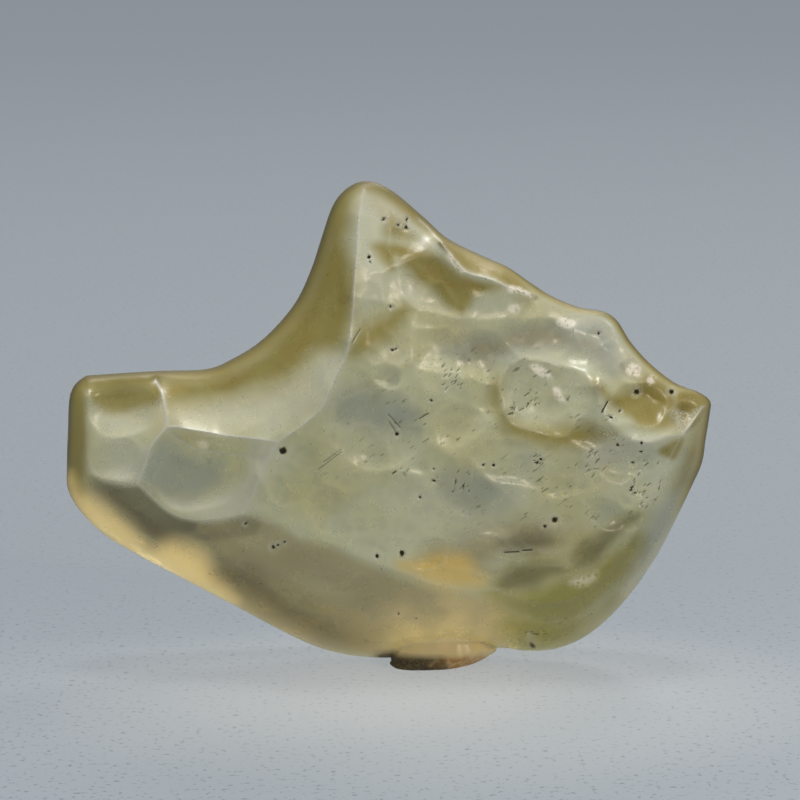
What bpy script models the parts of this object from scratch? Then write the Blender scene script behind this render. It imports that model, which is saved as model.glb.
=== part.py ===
"""Libyan desert glass: one wind-worn piece of natural yellow-green glass, standing on its own small foot.

Metres, +Z up, the face with the scallops towards -Y. The stone is drawn as it is seen: in millimetres,
u to the right and v up in a picture plane, w towards the eye along the sight lines. The picture plane
leans back by the angle at which the eye looks down. A front and a back skin share one rounded rim.
Each skin is stretched over hand-placed ridges, then hollowed by shallow scoops, as wind-blown sand
leaves such glass.
"""

import math

import bmesh
import bpy
import numpy as np
from mathutils import Vector, noise
from mathutils.geometry import delaunay_2d_cdt
from mathutils.kdtree import KDTree

MM = 0.001

# Driving dimensions, in millimetres and degrees
EYE_DISTANCE = 240.0
EYE_CENTRE = (0.6, 16.7)
EYE_DOWN = math.radians(10.0)
MESH_STEP = 0.32
RIM_ANGLES = tuple(math.radians(angle) for angle in (0, 28, 52, 74))
TRIANGLES = 9000
EDGE_SHELTER = 1.5
LEAST_RIM = 0.3
MERGE_GAP = 1e-5

# How uneven the glass is: lumps as height and length, then the wavering edges of the scoops
LUMPS = ((0.09, 4.5), (0.03, 1.7))
WAVER = 0.45
WAVER_LENGTH = 2.2
SCOOP_LEAN = 0.4
SCOOP_BLEND = 0.02

# Foot: the flat underside, and rings up into the stone as height, scale and shift to the right
FOOT_LEVEL = 0.33
FOOT_CENTRE = (2.7, 0.2)
FOOT_HALF_WIDTH = 2.7
FOOT_HALF_DEPTH = 2.6
FOOT_RINGS = ((0.0, 1.0, 0.0), (0.35, 1.1, 0.3), (0.8, 1.12, 0.6), (2.2, 0.8, 0.4))
FOOT_SIDES = 28
FOOT_LUMPS = ((2, 0.05, 0.4), (3, 0.06, 1.9), (5, 0.035, 0.8))

GLASS_COLOUR = (0.58, 0.56, 0.36, 1.0)
GLASS_ROUGHNESS = 0.35
GLASS_IOR = 1.46
GLASS_CLEARNESS = 0.8

# Outline, clockwise from the top of the arm's end: u, v and the radius of the rounded rim
OUTLINE = (
    (-20.0, 17.1, 1.0), (-19.2, 18.1, 0.6), (-18.2, 18.27, 0.45), (-14.6, 18.5, 0.45),
    (-11.5, 18.62, 0.6), (-9.88, 19.25, 0.8), (-8.25, 20.25, 0.9), (-6.88, 21.56, 0.9),
    (-5.75, 23.06, 0.9), (-4.88, 25.0, 0.9), (-4.25, 26.94, 0.9), (-3.62, 28.75, 0.8),
    (-2.9, 29.75, 0.6), (-1.9, 30.32, 0.5), (-0.9, 30.28, 0.45), (0.3, 29.65, 0.4),
    (2.12, 28.12, 0.4), (3.6, 26.8, 0.5), (5.88, 25.66, 0.6), (7.38, 25.0, 0.6),
    (8.75, 24.06, 0.6), (10.12, 23.19, 0.5), (11.88, 22.47, 0.5), (13.25, 22.25, 0.5),
    (14.19, 21.69, 0.5), (15.12, 20.25, 0.5), (16.38, 18.88, 0.5), (17.88, 17.75, 0.45),
    (19.31, 17.19, 0.35), (20.05, 16.62, 0.35), (20.02, 15.8, 0.4), (19.75, 14.12, 0.6),
    (19.53, 12.75, 0.7), (18.81, 11.12, 0.9), (17.76, 8.95, 1.1), (16.7, 6.95, 1.3),
    (15.38, 5.0, 1.4), (13.88, 3.25, 1.4), (12.19, 1.88, 1.4), (10.44, 1.16, 1.3),
    (8.62, 1.0, 1.3), (6.88, 1.19, 1.3), (4.5, 0.95, 1.3), (2.12, 0.78, 1.3),
    (-0.25, 0.58, 1.2), (-2.62, 0.76, 1.0), (-4.88, 1.38, 0.9), (-7.38, 2.58, 0.8),
    (-9.62, 3.78, 0.8), (-13.75, 5.94, 0.9), (-15.88, 7.06, 1.0), (-17.85, 8.25, 1.1),
    (-19.35, 9.7, 1.2), (-20.15, 11.1, 1.2), (-20.22, 12.69, 1.2), (-20.16, 14.75, 1.1),
)

# Ridges of the front skin: u, v and height above the middle of the stone
ARM_CORNER = (-13.94, 15.0, 3.1)
ARM_HEEL = (-15.81, 11.5, 3.1)
ARRIS_BEND = (-7.0, 14.06, 5.8)
ARRIS_FOOT = (-9.19, 9.62, 4.6)
LEDGE_END = (-7.75, 12.88, 5.5)
BOWL_LEFT = (6.88, 4.81, 5.1)
BOWL_RIGHT = (15.75, 9.75, 3.9)
TIP_STEP = (18.31, 14.5, 2.4)

FRONT_RIDGES = {
    "arm step": ((-14.69, 18.0, 0.6), (-14.31, 17.19, 1.6), (-14.06, 16.12, 2.5), ARM_CORNER),
    "arm lower step": (
        ARM_CORNER, (-14.5, 14.38, 3.2), (-15.0, 13.69, 3.25), (-15.31, 12.75, 3.2), ARM_HEEL,
    ),
    "hollow floor": (
        ARM_CORNER, (-13.25, 15.0, 3.3), (-12.19, 14.81, 3.6), (-11.38, 14.69, 3.8), (-10.0, 14.44, 4.2),
        (-8.75, 14.31, 4.8), ARRIS_BEND,
    ),
    "hollow ledge": (
        ARM_CORNER, (-13.62, 14.5, 3.1), (-12.94, 14.06, 3.15), (-12.19, 13.62, 3.3), (-11.38, 13.5, 3.5),
        (-9.06, 13.19, 4.4), LEDGE_END,
    ),
    "lower arris": (ARRIS_FOOT, (-8.75, 10.5, 4.9), (-8.31, 11.62, 5.3), LEDGE_END),
    "middle arris": (LEDGE_END, (-7.38, 13.62, 5.7), ARRIS_BEND),
    "upper arris": (
        ARRIS_BEND, (-5.81, 14.88, 6.0), (-5.0, 15.5, 6.2), (-4.25, 16.25, 6.3), (-3.75, 17.38, 6.25),
        (-3.25, 18.44, 6.1), (-2.69, 19.75, 5.8), (-2.4, 21.4, 5.3), (-2.2, 24.25, 4.4),
        (-2.06, 26.12, 3.5), (-2.0, 27.69, 2.6), (-1.81, 29.0, 1.5), (-1.6, 29.8, 0.8),
    ),
    "arm brow": (
        (-18.88, 17.0, 1.7), (-18.94, 14.88, 2.2), (-18.88, 12.88, 2.4), (-18.44, 12.0, 2.6),
        (-17.75, 11.62, 2.8), (-16.88, 11.5, 3.0), ARM_HEEL,
    ),
    "left brow": (
        ARM_HEEL, (-15.0, 10.75, 3.3), (-14.06, 9.88, 3.6), (-13.12, 9.38, 3.9), (-12.0, 9.19, 4.2),
        (-10.5, 9.34, 4.45), ARRIS_FOOT,
    ),
    "brow": (
        ARRIS_FOOT, (-8.38, 9.31, 4.8), (-7.38, 9.06, 5.0), (-5.81, 9.06, 5.3), (-4.5, 8.25, 5.5),
        (-2.81, 7.31, 5.7), (-0.94, 6.56, 5.75), (0.62, 6.0, 5.7), (2.5, 5.31, 5.5), (4.38, 4.88, 5.3),
        BOWL_LEFT,
    ),
    "bowl lower edge": (
        BOWL_LEFT, (8.25, 4.12, 4.7), (9.69, 3.88, 4.4), (11.25, 4.19, 4.2), (13.12, 5.31, 4.0),
        (14.38, 6.75, 4.0), (15.19, 8.31, 3.9), BOWL_RIGHT,
    ),
    "bowl upper edge": (
        BOWL_LEFT, (6.38, 5.56, 5.3), (7.62, 6.25, 5.3), (10.0, 6.38, 5.2), (11.38, 6.31, 5.0),
        (12.19, 7.44, 4.8), (13.12, 7.88, 4.7), (14.38, 8.62, 4.4), BOWL_RIGHT,
    ),
    "right edge": (BOWL_RIGHT, (16.56, 11.31, 3.5), (17.38, 12.81, 3.0), (17.88, 13.75, 2.7), TIP_STEP),
    "tip edge": (TIP_STEP, (19.12, 15.56, 1.6), (19.6, 16.3, 0.8)),
    "crest strip": (
        (1.75, 28.0, 0.9), (2.38, 27.45, 1.6), (3.12, 26.6, 2.3), (4.25, 25.19, 2.9), (4.88, 24.62, 3.0),
        (6.25, 24.25, 2.7), (7.38, 23.75, 2.4), (8.44, 23.4, 1.9), (9.12, 23.0, 0.9),
    ),
    "ledge": (
        (13.0, 17.69, 4.6), (13.12, 16.44, 4.7), (13.88, 15.19, 4.7), (15.0, 14.25, 4.5),
        (16.25, 14.0, 4.1), (17.38, 14.38, 3.3), TIP_STEP,
    ),
}

# Ridges of the back skin, heights away from the eye
SPINE_TOP = (2.2, 19.0, 5.9)
SPINE_MIDDLE = (3.0, 16.0, 6.4)
BACK_LEFT = (-18.0, 13.4, 2.4)
BACK_RIGHT = (18.4, 15.6, 1.7)

BACK_RIDGES = {
    "upper spine": ((-1.3, 29.6, 0.9), (-1.0, 28.0, 2.0), (-0.2, 25.0, 3.5), (1.0, 22.0, 4.9), SPINE_TOP),
    "spine": (SPINE_TOP, (2.8, 17.5, 6.2), SPINE_MIDDLE),
    "left shoulder": (
        SPINE_TOP, (-1.5, 17.0, 5.3), (-5.0, 15.7, 4.5), (-9.0, 14.6, 3.7), (-13.0, 14.0, 3.2), BACK_LEFT,
    ),
    "right shoulder": (SPINE_MIDDLE, (7.0, 16.5, 5.8), (11.0, 16.8, 4.8), (15.0, 16.5, 3.4), BACK_RIGHT),
    "belly": (
        BACK_LEFT, (-16.6, 11.6, 3.0), (-13.5, 9.9, 3.3), (-9.0, 7.6, 3.9), (-4.5, 6.0, 4.6), (0.0, 5.0, 4.9),
        (4.0, 4.6, 4.9), (8.0, 5.2, 4.6), (12.0, 7.0, 4.2), (15.2, 9.8, 3.6), (17.4, 13.0, 2.5), BACK_RIGHT,
    ),
}

# Where a skin swells outwards (positive) or sags between its ridges: u, v, radius and pressure
FRONT_SWELLS = (
    (4.5, 14.5, 7.0, 0.05), (0.5, 22.5, 3.0, 0.03), (-8.0, 17.5, 4.0, -0.08), (-4.5, 23.5, 3.0, -0.06),
    (-12.0, 6.5, 3.5, 0.12), (-5.0, 4.5, 4.0, 0.12), (3.0, 2.8, 4.5, 0.14), (10.5, 2.2, 3.5, 0.1),
    (16.5, 6.8, 3.0, 0.1), (11.5, 5.3, 2.5, -0.14), (-12.0, 11.8, 2.5, -0.05), (-17.0, 14.5, 2.5, -0.04),
)
BACK_SWELLS = (
    (-2.0, 11.0, 7.0, 0.05), (9.0, 12.0, 6.0, 0.05), (-14.0, 12.0, 4.0, 0.03), (6.0, 20.0, 4.0, 0.03),
)

# Scoops: u, v, half length, half width, turn in degrees and depth
FRONT_SCOOPS = (
    (-6.2, 12.4, 2.1, 2.5, -15, 0.26), (-0.7, 15.0, 3.2, 2.7, -5, 0.32), (-2.4, 18.4, 1.8, 2.0, 35, 0.12),
    (-0.2, 18.2, 1.2, 1.0, 0, 0.16), (-0.2, 21.9, 2.0, 3.4, -12, 0.16), (-0.9, 26.9, 1.0, 2.6, 8, 0.08),
    (1.4, 27.0, 1.2, 1.9, -50, 0.12), (3.0, 23.6, 2.8, 1.5, -32, 0.18), (3.5, 20.4, 3.2, 2.0, -18, 0.13),
    (6.2, 19.7, 1.7, 2.1, 8, 0.22), (9.8, 20.2, 3.9, 1.4, -14, 0.24), (9.8, 16.9, 3.0, 2.4, -8, 0.34),
    (11.1, 17.3, 0.9, 0.8, 0, 0.16), (13.2, 20.3, 2.1, 1.2, -38, 0.14), (15.4, 18.5, 1.0, 0.8, -40, 0.12),
    (15.7, 16.6, 1.8, 1.4, 10, 0.26), (18.6, 15.6, 1.1, 0.9, 40, 0.14), (14.6, 12.9, 2.3, 1.3, -4, 0.30),
    (4.3, 15.9, 2.9, 2.0, 22, 0.12), (8.0, 12.6, 3.3, 1.3, -10, 0.15), (11.6, 11.9, 2.3, 1.2, 14, 0.14),
    (15.9, 11.6, 1.3, 2.1, -35, 0.12), (13.9, 9.5, 1.9, 1.0, -22, 0.18), (10.4, 8.8, 2.6, 1.7, -6, 0.17),
    (7.0, 9.3, 1.9, 1.3, 25, 0.12), (4.4, 11.2, 3.0, 1.8, -24, 0.14), (0.8, 10.2, 3.4, 1.9, 12, 0.12),
    (-3.1, 9.7, 2.4, 1.6, -18, 0.13), (2.4, 7.1, 1.5, 1.1, 0, 0.24), (5.6, 7.0, 2.4, 1.1, -8, 0.16),
    (-16.6, 16.1, 2.3, 1.7, -4, 0.20), (-17.2, 13.0, 1.7, 1.3, 0, 0.18), (-11.8, 11.9, 3.1, 2.0, 8, 0.22),
    (-9.7, 16.8, 3.8, 2.1, 20, 0.20), (-5.6, 6.1, 5.6, 2.0, -25, 0.16), (-13.8, 8.3, 3.1, 1.1, -28, 0.12),
    (3.8, 3.0, 5.0, 1.4, 0, 0.14), (13.8, 6.8, 2.1, 1.5, 55, 0.16), (1.9, 12.9, 2.0, 1.0, -12, 0.10),
    (16.9, 13.0, 1.0, 0.9, 20, 0.12), (12.4, 14.4, 1.6, 0.9, -12, 0.14), (5.9, 16.6, 1.2, 1.5, -10, 0.12),
)
BACK_SCOOPS = (
    (-13.0, 12.0, 3.8, 1.7, -15, 0.26), (-8.0, 11.5, 3.4, 2.4, -28, 0.34), (-6.5, 17.5, 3.2, 1.9, 34, 0.24),
    (-1.0, 11.2, 4.0, 3.0, 18, 0.38), (-0.6, 20.6, 2.2, 3.2, -8, 0.28), (5.5, 21.0, 3.2, 2.2, -34, 0.28),
    (7.2, 12.4, 3.8, 2.6, -12, 0.36), (11.5, 19.3, 3.2, 1.6, -26, 0.24), (12.6, 12.8, 2.6, 2.6, 20, 0.30),
    (5.6, 7.9, 3.6, 1.8, 6, 0.28), (0.9, 25.4, 1.4, 2.4, 10, 0.18), (16.4, 14.6, 1.5, 1.7, -30, 0.18),
    (-2.5, 3.4, 4.4, 1.5, -10, 0.18), (6.4, 3.0, 4.4, 1.3, 6, 0.16), (-16.4, 16.2, 2.6, 1.2, 0, 0.16),
    (2.9, 16.0, 2.6, 1.8, 28, 0.24), (-12.0, 6.6, 3.8, 1.2, -28, 0.15), (-4.6, 14.2, 1.9, 1.3, -20, 0.20),
    (9.6, 9.4, 1.9, 1.4, 30, 0.20), (14.4, 9.0, 1.7, 2.2, -24, 0.18), (-3.4, 7.6, 2.6, 1.4, -16, 0.20),
    (7.2, 16.6, 1.8, 1.3, -14, 0.18), (-11.6, 15.9, 2.3, 1.2, 6, 0.16),
)

# Pits where bubbles in the glass broke open: u, v, radius and depth
FRONT_PITS = (
    (-6.69, 13.5, 0.28, 0.30), (0.75, 7.12, 0.30, 0.25), (10.31, 9.19, 0.30, 0.30),
    (-0.81, 6.94, 0.22, 0.20), (-1.31, 25.62, 0.22, 0.20), (0.44, 14.56, 0.22, 0.20),
    (15.44, 17.19, 0.25, 0.25), (13.44, 16.12, 0.25, 0.20), (8.5, 7.31, 0.30, 0.20),
    (-7.31, 7.5, 0.25, 0.20),
)
BACK_PITS = (
    (-3.0, 12.5, 0.30, 0.25), (9.2, 15.4, 0.25, 0.20), (4.4, 9.0, 0.28, 0.25), (-10.5, 13.2, 0.22, 0.20),
)


def clear_scene():
    for thing in list(bpy.data.objects):
        bpy.data.objects.remove(thing, do_unlink=True)


def smooth_path(points, step, closed):
    """Points about a step apart on a Catmull-Rom curve through the given ones."""
    knots = np.array(points, float)
    if closed:
        padded = np.vstack((knots[-1:], knots, knots[:2]))
    else:
        padded = np.vstack((2 * knots[0] - knots[1], knots, 2 * knots[-1] - knots[-2]))
    pieces = []
    for before, start, end, after in zip(padded, padded[1:], padded[2:], padded[3:]):
        count = max(1, round(np.linalg.norm((end - start)[:2]) / step))
        t = (np.arange(count) / count)[:, None]
        bend = 2 * before - 5 * start + 4 * end - after
        twist = 3 * (start - end) + after - before
        pieces.append(start + t / 2 * (end - before + t * (bend + t * twist)))
    if not closed:
        pieces.append(knots[-1:])
    return np.vstack(pieces)


def tree_of(places):
    tree = KDTree(len(places))
    for index, (u, v) in enumerate(places):
        tree.insert((u, v, 0.0), index)
    tree.balance()
    return tree


def nearest_on(path, points):
    """Distance from each point to a closed path, and the path's third value there."""
    tree = tree_of(path[:, :2])
    near = np.array([tree.find((u, v, 0.0))[1] for u, v in points])
    best = np.full(len(points), np.inf)
    value = np.zeros(len(points))
    for first, second in ((near - 1, near), (near, (near + 1) % len(path))):
        start = path[first]
        along = path[second] - start
        reach = ((points - start[:, :2]) * along[:, :2]).sum(1) / (along[:, :2] ** 2).sum(1)
        reach = np.clip(reach, 0.0, 1.0)
        distance = np.linalg.norm(points - start[:, :2] - along[:, :2] * reach[:, None], axis=1)
        closer = distance < best
        best[closer] = distance[closer]
        value[closer] = (start[:, 2] + along[:, 2] * reach)[closer]
    return best, value


def inside(outline, points):
    """Which points lie inside a closed outline, by counting crossings."""
    crossings = np.zeros(len(points), int)
    for start, end in zip(outline, np.roll(outline, -1, 0)):
        spans = (start[1] > points[:, 1]) != (end[1] > points[:, 1])
        if spans.any():
            reach = start[0] + (points[:, 1] - start[1]) / (end[1] - start[1]) * (end[0] - start[0])
            crossings += spans & (points[:, 0] < reach)
    return crossings % 2 == 1


def rim_rings(outline):
    """Rings set in from the outline, closer together where the rim turns over."""
    along = np.roll(outline[:, :2], -1, 0) - np.roll(outline[:, :2], 1, 0)
    inward = np.column_stack((along[:, 1], -along[:, 0])) / np.linalg.norm(along, axis=1)[:, None]
    return [outline[:, :2] + inward * outline[:, 2:] * (1 - math.cos(angle)) for angle in RIM_ANGLES]


def clear_of_rim(outline, points, gap):
    distance, radius = nearest_on(outline, points[:, :2])
    return points[distance > radius * (1 - math.cos(RIM_ANGLES[-1])) + gap]


def circle(u, v, radius, sides):
    return [(u + radius * math.cos(math.tau * side / sides), v + radius * math.sin(math.tau * side / sides))
            for side in range(sides)]


def fill_points(outline, taken, step):
    """Even triangular grid inside the rim, clear of the points that are taken."""
    low, high = outline[:, :2].min(0), outline[:, :2].max(0)
    rows = np.arange(low[1], high[1], step * math.sqrt(0.75))
    columns = np.arange(low[0], high[0], step)
    grid = np.array([(u + (row % 2) * step / 2, v) for row, v in enumerate(rows) for u in columns])
    grid = clear_of_rim(outline, grid[inside(outline, grid)], 0.5 * step)
    tree = tree_of(taken)
    return [(u, v) for u, v in grid if tree.find((u, v, 0.0))[2] > 0.6 * step]


def plan(outline, ridges, pits, step):
    """Flat mesh inside the outline: rim strips, then triangles with edges along the ridges."""
    count = len(outline)
    rims = rim_rings(outline)
    places = [(u, v) for u, v in rims[-1]]
    edges = [(index, (index + 1) % count) for index in range(count)]
    held = {}
    for ridge in ridges.values():
        path = clear_of_rim(outline, smooth_path(ridge, step, False), 0.3 * step)
        edges += [(len(places) + index, len(places) + index + 1) for index in range(len(path) - 1)]
        held.update({len(places) + index: height for index, (_, _, height) in enumerate(path)})
        places += [(u, v) for u, v, _ in path]
    for u, v, radius, _ in pits:
        places += [(u, v)] + circle(u, v, radius / 2, 6) + circle(u, v, radius, 10)
    places += fill_points(outline, places, step)
    net = delaunay_2d_cdt([Vector(place) for place in places], edges, [], 0, MERGE_GAP, True)
    flat, _, faces, origins, _, _ = net
    flat, faces = np.array([tuple(place) for place in flat]), np.array(faces)
    faces = faces[inside(rims[-1], flat[faces].mean(1))]

    base = count * (len(rims) - 1)
    points = np.vstack(rims[:-1] + [flat])
    heights = np.full(len(points), np.nan)
    inner = np.zeros(count, int)
    for index, sources in enumerate(origins):
        for source in sources:
            if source in held:
                heights[base + index] = held[source]
            if source < count:
                inner[source] = base + index
    strips = []
    rings = [ring * count + np.arange(count) for ring in range(len(rims) - 1)] + [inner]
    for outer, ring in zip(rings, rings[1:]):
        outer_next, ring_next = np.roll(outer, -1), np.roll(ring, -1)
        strips.append(np.column_stack((outer, ring_next, outer_next)))
        strips.append(np.column_stack((outer, ring, ring_next)))
    return points, np.vstack([faces + base] + strips), heights


def membrane(points, triangles, heights, pressure):
    """Heights of a skin stretched over the points that are held, solved by conjugate gradients."""
    start, end, strength = [], [], []
    area = np.zeros(len(points))
    for corner in range(3):
        apex, left, right = (triangles[:, (corner + turn) % 3] for turn in range(3))
        to_left, to_right = points[left] - points[apex], points[right] - points[apex]
        cross = np.abs(to_left[:, 0] * to_right[:, 1] - to_left[:, 1] * to_right[:, 0]) + 1e-9
        start.append(left)
        end.append(right)
        strength.append(np.clip((to_left * to_right).sum(1) / cross, 0.02, 20.0) / 2)
        area += np.bincount(apex, cross / 6, len(points))
    start, end, strength = np.concatenate(start), np.concatenate(end), np.concatenate(strength)
    total = np.bincount(start, strength, len(points)) + np.bincount(end, strength, len(points))

    def pull(values):
        return (total * values - np.bincount(start, strength * values[end], len(points))
                - np.bincount(end, strength * values[start], len(points)))

    free = np.isnan(heights)
    level = np.where(free, np.nanmean(heights), heights)
    rest = (pressure * area - pull(level)) * free
    course = rest / total
    size = rest @ course
    goal = size * 1e-12
    while size > goal:
        drag = pull(course) * free
        stride = size / (course @ drag)
        level += stride * course
        rest -= stride * drag
        new_size = rest @ (rest / total)
        course = rest / total + new_size / size * course
        size = new_size
    return level


def drift(points, length, seed):
    """Smooth value that wanders between about -1 and 1 over the given length."""
    return np.array([noise.noise(Vector((u / length, v / length, seed))) for u, v in points])


def scoop_depth(points, scoops, seed):
    """Depth of the deepest scoop at each point: uneven edges, steeper below, crests slightly rounded."""
    waver = WAVER * np.column_stack([drift(points, WAVER_LENGTH, seed + part) for part in (0.0, 9.0)])
    total = np.ones(len(points))
    for u, v, half_length, half_width, turn, depth in scoops:
        cos, sin = math.cos(math.radians(turn)), math.sin(math.radians(turn))
        across = points + waver - (u, v)
        along = (across[:, 0] * cos + across[:, 1] * sin) / half_length
        aside = (across[:, 1] * cos - across[:, 0] * sin) / half_width
        share = np.clip(1 - along ** 2 - aside ** 2, 0.0, None) * (1 - SCOOP_LEAN * aside)
        total += np.exp(depth * share / SCOOP_BLEND) - 1
    return SCOOP_BLEND * np.log(total)


def pit_depth(points, pits):
    deepest = np.zeros(len(points))
    for u, v, radius, depth in pits:
        share = np.clip(1 - ((points - (u, v)) ** 2).sum(1) / radius ** 2, 0.0, 1.0)
        deepest = np.maximum(deepest, depth * np.sqrt(share))
    return deepest


def skin(outline, ridges, swells, scoops, pits, side):
    """One skin as points in the picture frame and triangles; side is 1 in front and -1 behind."""
    points, triangles, heights = plan(outline, ridges, pits, MESH_STEP)
    distance, radius = nearest_on(outline, points)
    edge = np.arange(len(points)) < len(outline)
    heights[edge] = radius[edge]
    pressure = sum(amount * np.exp(-((points - (u, v)) ** 2).sum(1) / reach ** 2)
                   for u, v, reach, amount in swells)
    lumps = sum(height * drift(points, length, 7.0 * side) for height, length in LUMPS)
    level = membrane(points, triangles, heights, pressure)
    level += (lumps - scoop_depth(points, scoops, 3.0 * side)) * np.clip(distance / EDGE_SHELTER, 0.0, 1.0)
    turnover = np.sqrt(1 - np.clip(1 - distance / radius, 0.0, 1.0) ** 2)
    level = np.maximum(level, LEAST_RIM * radius) * turnover - pit_depth(points, pits)
    level[edge] = 0.0
    upright = math.tan(EYE_DOWN) * points[:, 1]
    return np.column_stack((points, upright + side * level)), triangles


def stood_up(seen):
    """Positions in metres of points given along the sight lines of the leaning picture plane."""
    flat = EYE_CENTRE + (seen[:, :2] - EYE_CENTRE) * (1 - seen[:, 2:] / EYE_DISTANCE)
    cos, sin = math.cos(EYE_DOWN), math.sin(EYE_DOWN)
    return MM * np.column_stack((flat[:, 0], flat[:, 1] * sin - seen[:, 2] * cos,
                                 flat[:, 1] * cos + seen[:, 2] * sin - FOOT_LEVEL))


def stone_form():
    """Both skins, joined along the outline."""
    outline = smooth_path(OUTLINE, 2 * MESH_STEP, True)
    form = bmesh.new()
    front = (FRONT_RIDGES, FRONT_SWELLS, FRONT_SCOOPS, FRONT_PITS, 1)
    back = (BACK_RIDGES, BACK_SWELLS, BACK_SCOOPS, BACK_PITS, -1)
    for side in (front, back):
        seen, triangles = skin(outline, *side)
        corners = [form.verts.new(corner) for corner in stood_up(seen)]
        for triangle in triangles:
            form.faces.new([corners[index] for index in triangle])
    bmesh.ops.remove_doubles(form, verts=form.verts, dist=0.002 * MM)
    bmesh.ops.recalc_face_normals(form, faces=form.faces)
    return form


def foot_form():
    """Low uneven knob that the stone stands on, flat beneath."""
    form = bmesh.new()
    rings = []
    for height, scale, shift in FOOT_RINGS:
        ring = []
        for side in range(FOOT_SIDES):
            angle = math.tau * side / FOOT_SIDES
            lump = scale * (1 + sum(size * math.sin(waves * angle + start + height)
                                    for waves, size, start in FOOT_LUMPS))
            corner = (FOOT_CENTRE[0] + shift + FOOT_HALF_WIDTH * lump * math.cos(angle),
                      FOOT_CENTRE[1] + FOOT_HALF_DEPTH * lump * math.sin(angle), height)
            ring.append(form.verts.new(MM * Vector(corner)))
        rings.append(ring)
    for lower, upper in zip(rings, rings[1:]):
        for side in range(FOOT_SIDES):
            after = (side + 1) % FOOT_SIDES
            form.faces.new((lower[side], lower[after], upper[after], upper[side]))
    form.faces.new(rings[0][::-1])
    form.faces.new(rings[-1])
    return form


def object_from(form, name, parent):
    mesh = bpy.data.meshes.new(name)
    form.to_mesh(mesh)
    form.free()
    mesh.shade_smooth()
    thing = bpy.data.objects.new(name, mesh)
    thing.parent = parent
    bpy.context.collection.objects.link(thing)
    return thing


def glass():
    material = bpy.data.materials.new("desert glass")
    material.use_nodes = True
    shader = material.node_tree.nodes["Principled BSDF"]
    shader.inputs["Base Color"].default_value = GLASS_COLOUR
    shader.inputs["Roughness"].default_value = GLASS_ROUGHNESS
    shader.inputs["Metallic"].default_value = 0.0
    shader.inputs["IOR"].default_value = GLASS_IOR
    shader.inputs["Transmission Weight"].default_value = GLASS_CLEARNESS
    return material


def main():
    clear_scene()
    centre = bpy.data.objects.new("stone_centre", None)
    bpy.context.collection.objects.link(centre)
    stone = object_from(stone_form(), "desert_glass", centre)
    stone.data.materials.append(glass())
    foot = object_from(foot_form(), "foot_former", centre)
    foot.hide_render = True
    foot.display_type = "WIRE"
    thin = stone.modifiers.new("thin where flat", "DECIMATE")
    thin.ratio = TRIANGLES / len(stone.data.polygons)
    join = stone.modifiers.new("join foot", "BOOLEAN")
    join.operation = "UNION"
    join.solver = "EXACT"
    join.object = foot
    solid = stone.evaluated_get(bpy.context.evaluated_depsgraph_get())
    corners = np.array([tuple(corner) for corner in solid.bound_box])
    middle = (corners.min(0) + corners.max(0)) / 2
    centre.location = (-middle[0], -middle[1], 0.0)


main()
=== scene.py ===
"""Looks of a wind-worn piece of natural yellow-green desert glass on a pale table.

The stone is drawn as it is seen: in millimetres, u to the right and v up in a picture plane that leans
back by the angle at which the eye looks down, and w towards the eye along the sight lines.
"""

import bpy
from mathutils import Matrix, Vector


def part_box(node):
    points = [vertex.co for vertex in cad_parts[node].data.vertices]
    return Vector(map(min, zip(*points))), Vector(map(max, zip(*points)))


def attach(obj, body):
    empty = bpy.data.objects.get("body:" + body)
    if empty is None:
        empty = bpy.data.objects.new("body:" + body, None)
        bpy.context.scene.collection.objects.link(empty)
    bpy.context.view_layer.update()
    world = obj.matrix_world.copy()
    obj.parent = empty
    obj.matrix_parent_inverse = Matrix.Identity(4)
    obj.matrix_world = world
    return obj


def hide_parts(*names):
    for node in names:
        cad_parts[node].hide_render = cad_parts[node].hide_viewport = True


bl_info = {
    "name": "Desert glass looks",
    "version": (1, 0, 0),
    "blender": (4, 5, 0),
    "location": "View3D > Sidebar > Desert Glass",
    "description": "Fine surface, finish, pale table, soft light and camera for a piece of desert glass",
    "category": "Object",
}

import math

import bmesh
import bpy
import numpy as np
from bpy.props import FloatProperty, FloatVectorProperty, PointerProperty
from mathutils import Vector, noise
from mathutils.geometry import delaunay_2d_cdt
from mathutils.kdtree import KDTree

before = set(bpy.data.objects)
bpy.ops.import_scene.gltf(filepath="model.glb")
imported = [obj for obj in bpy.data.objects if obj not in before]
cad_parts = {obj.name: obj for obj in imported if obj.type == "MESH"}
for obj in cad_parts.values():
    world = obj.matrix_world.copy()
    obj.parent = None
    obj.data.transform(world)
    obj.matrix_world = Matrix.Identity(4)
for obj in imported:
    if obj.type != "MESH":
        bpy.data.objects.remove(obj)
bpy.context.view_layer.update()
NODE = "desert_glass"
BODY = "root"
MM = 0.001

# The eye and how the skins are meshed, in millimetres and degrees
EYE_DISTANCE = 240.0
EYE_CENTRE = (0.6, 16.7)
EYE_DOWN = math.radians(10.0)
SENSOR_WIDTH = 36.0
RIM_ANGLES = tuple(math.radians(angle) for angle in (0, 22, 42, 60, 76))
EDGE_SHELTER = 1.5
LEAST_RIM = 0.3
MERGE_GAP = 1e-5
SAME_PLACE = 0.002 * MM

# What fitting the stone to the model's box moves it by, in metres, which the camera follows
FIT_SHIFT = (0.000122, 0.000075, 0.0)

# Lamps: name, place, size, power and colour, in metres and watts
STONE_MIDDLE = (0.0, 0.0, 0.015)
LAMPS = (
    ("ceiling", (0.0, 0.08, 1.0), 0.24, 5.0, (1.0, 0.97, 0.90)),
    ("back window", (0.12, 0.3, 0.35), 0.12, 0.55, (1.0, 0.93, 0.80)),
    ("glint", (0.27, -0.28, 0.29), 0.02, 0.42, (1.0, 0.84, 0.68)),
)

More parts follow.
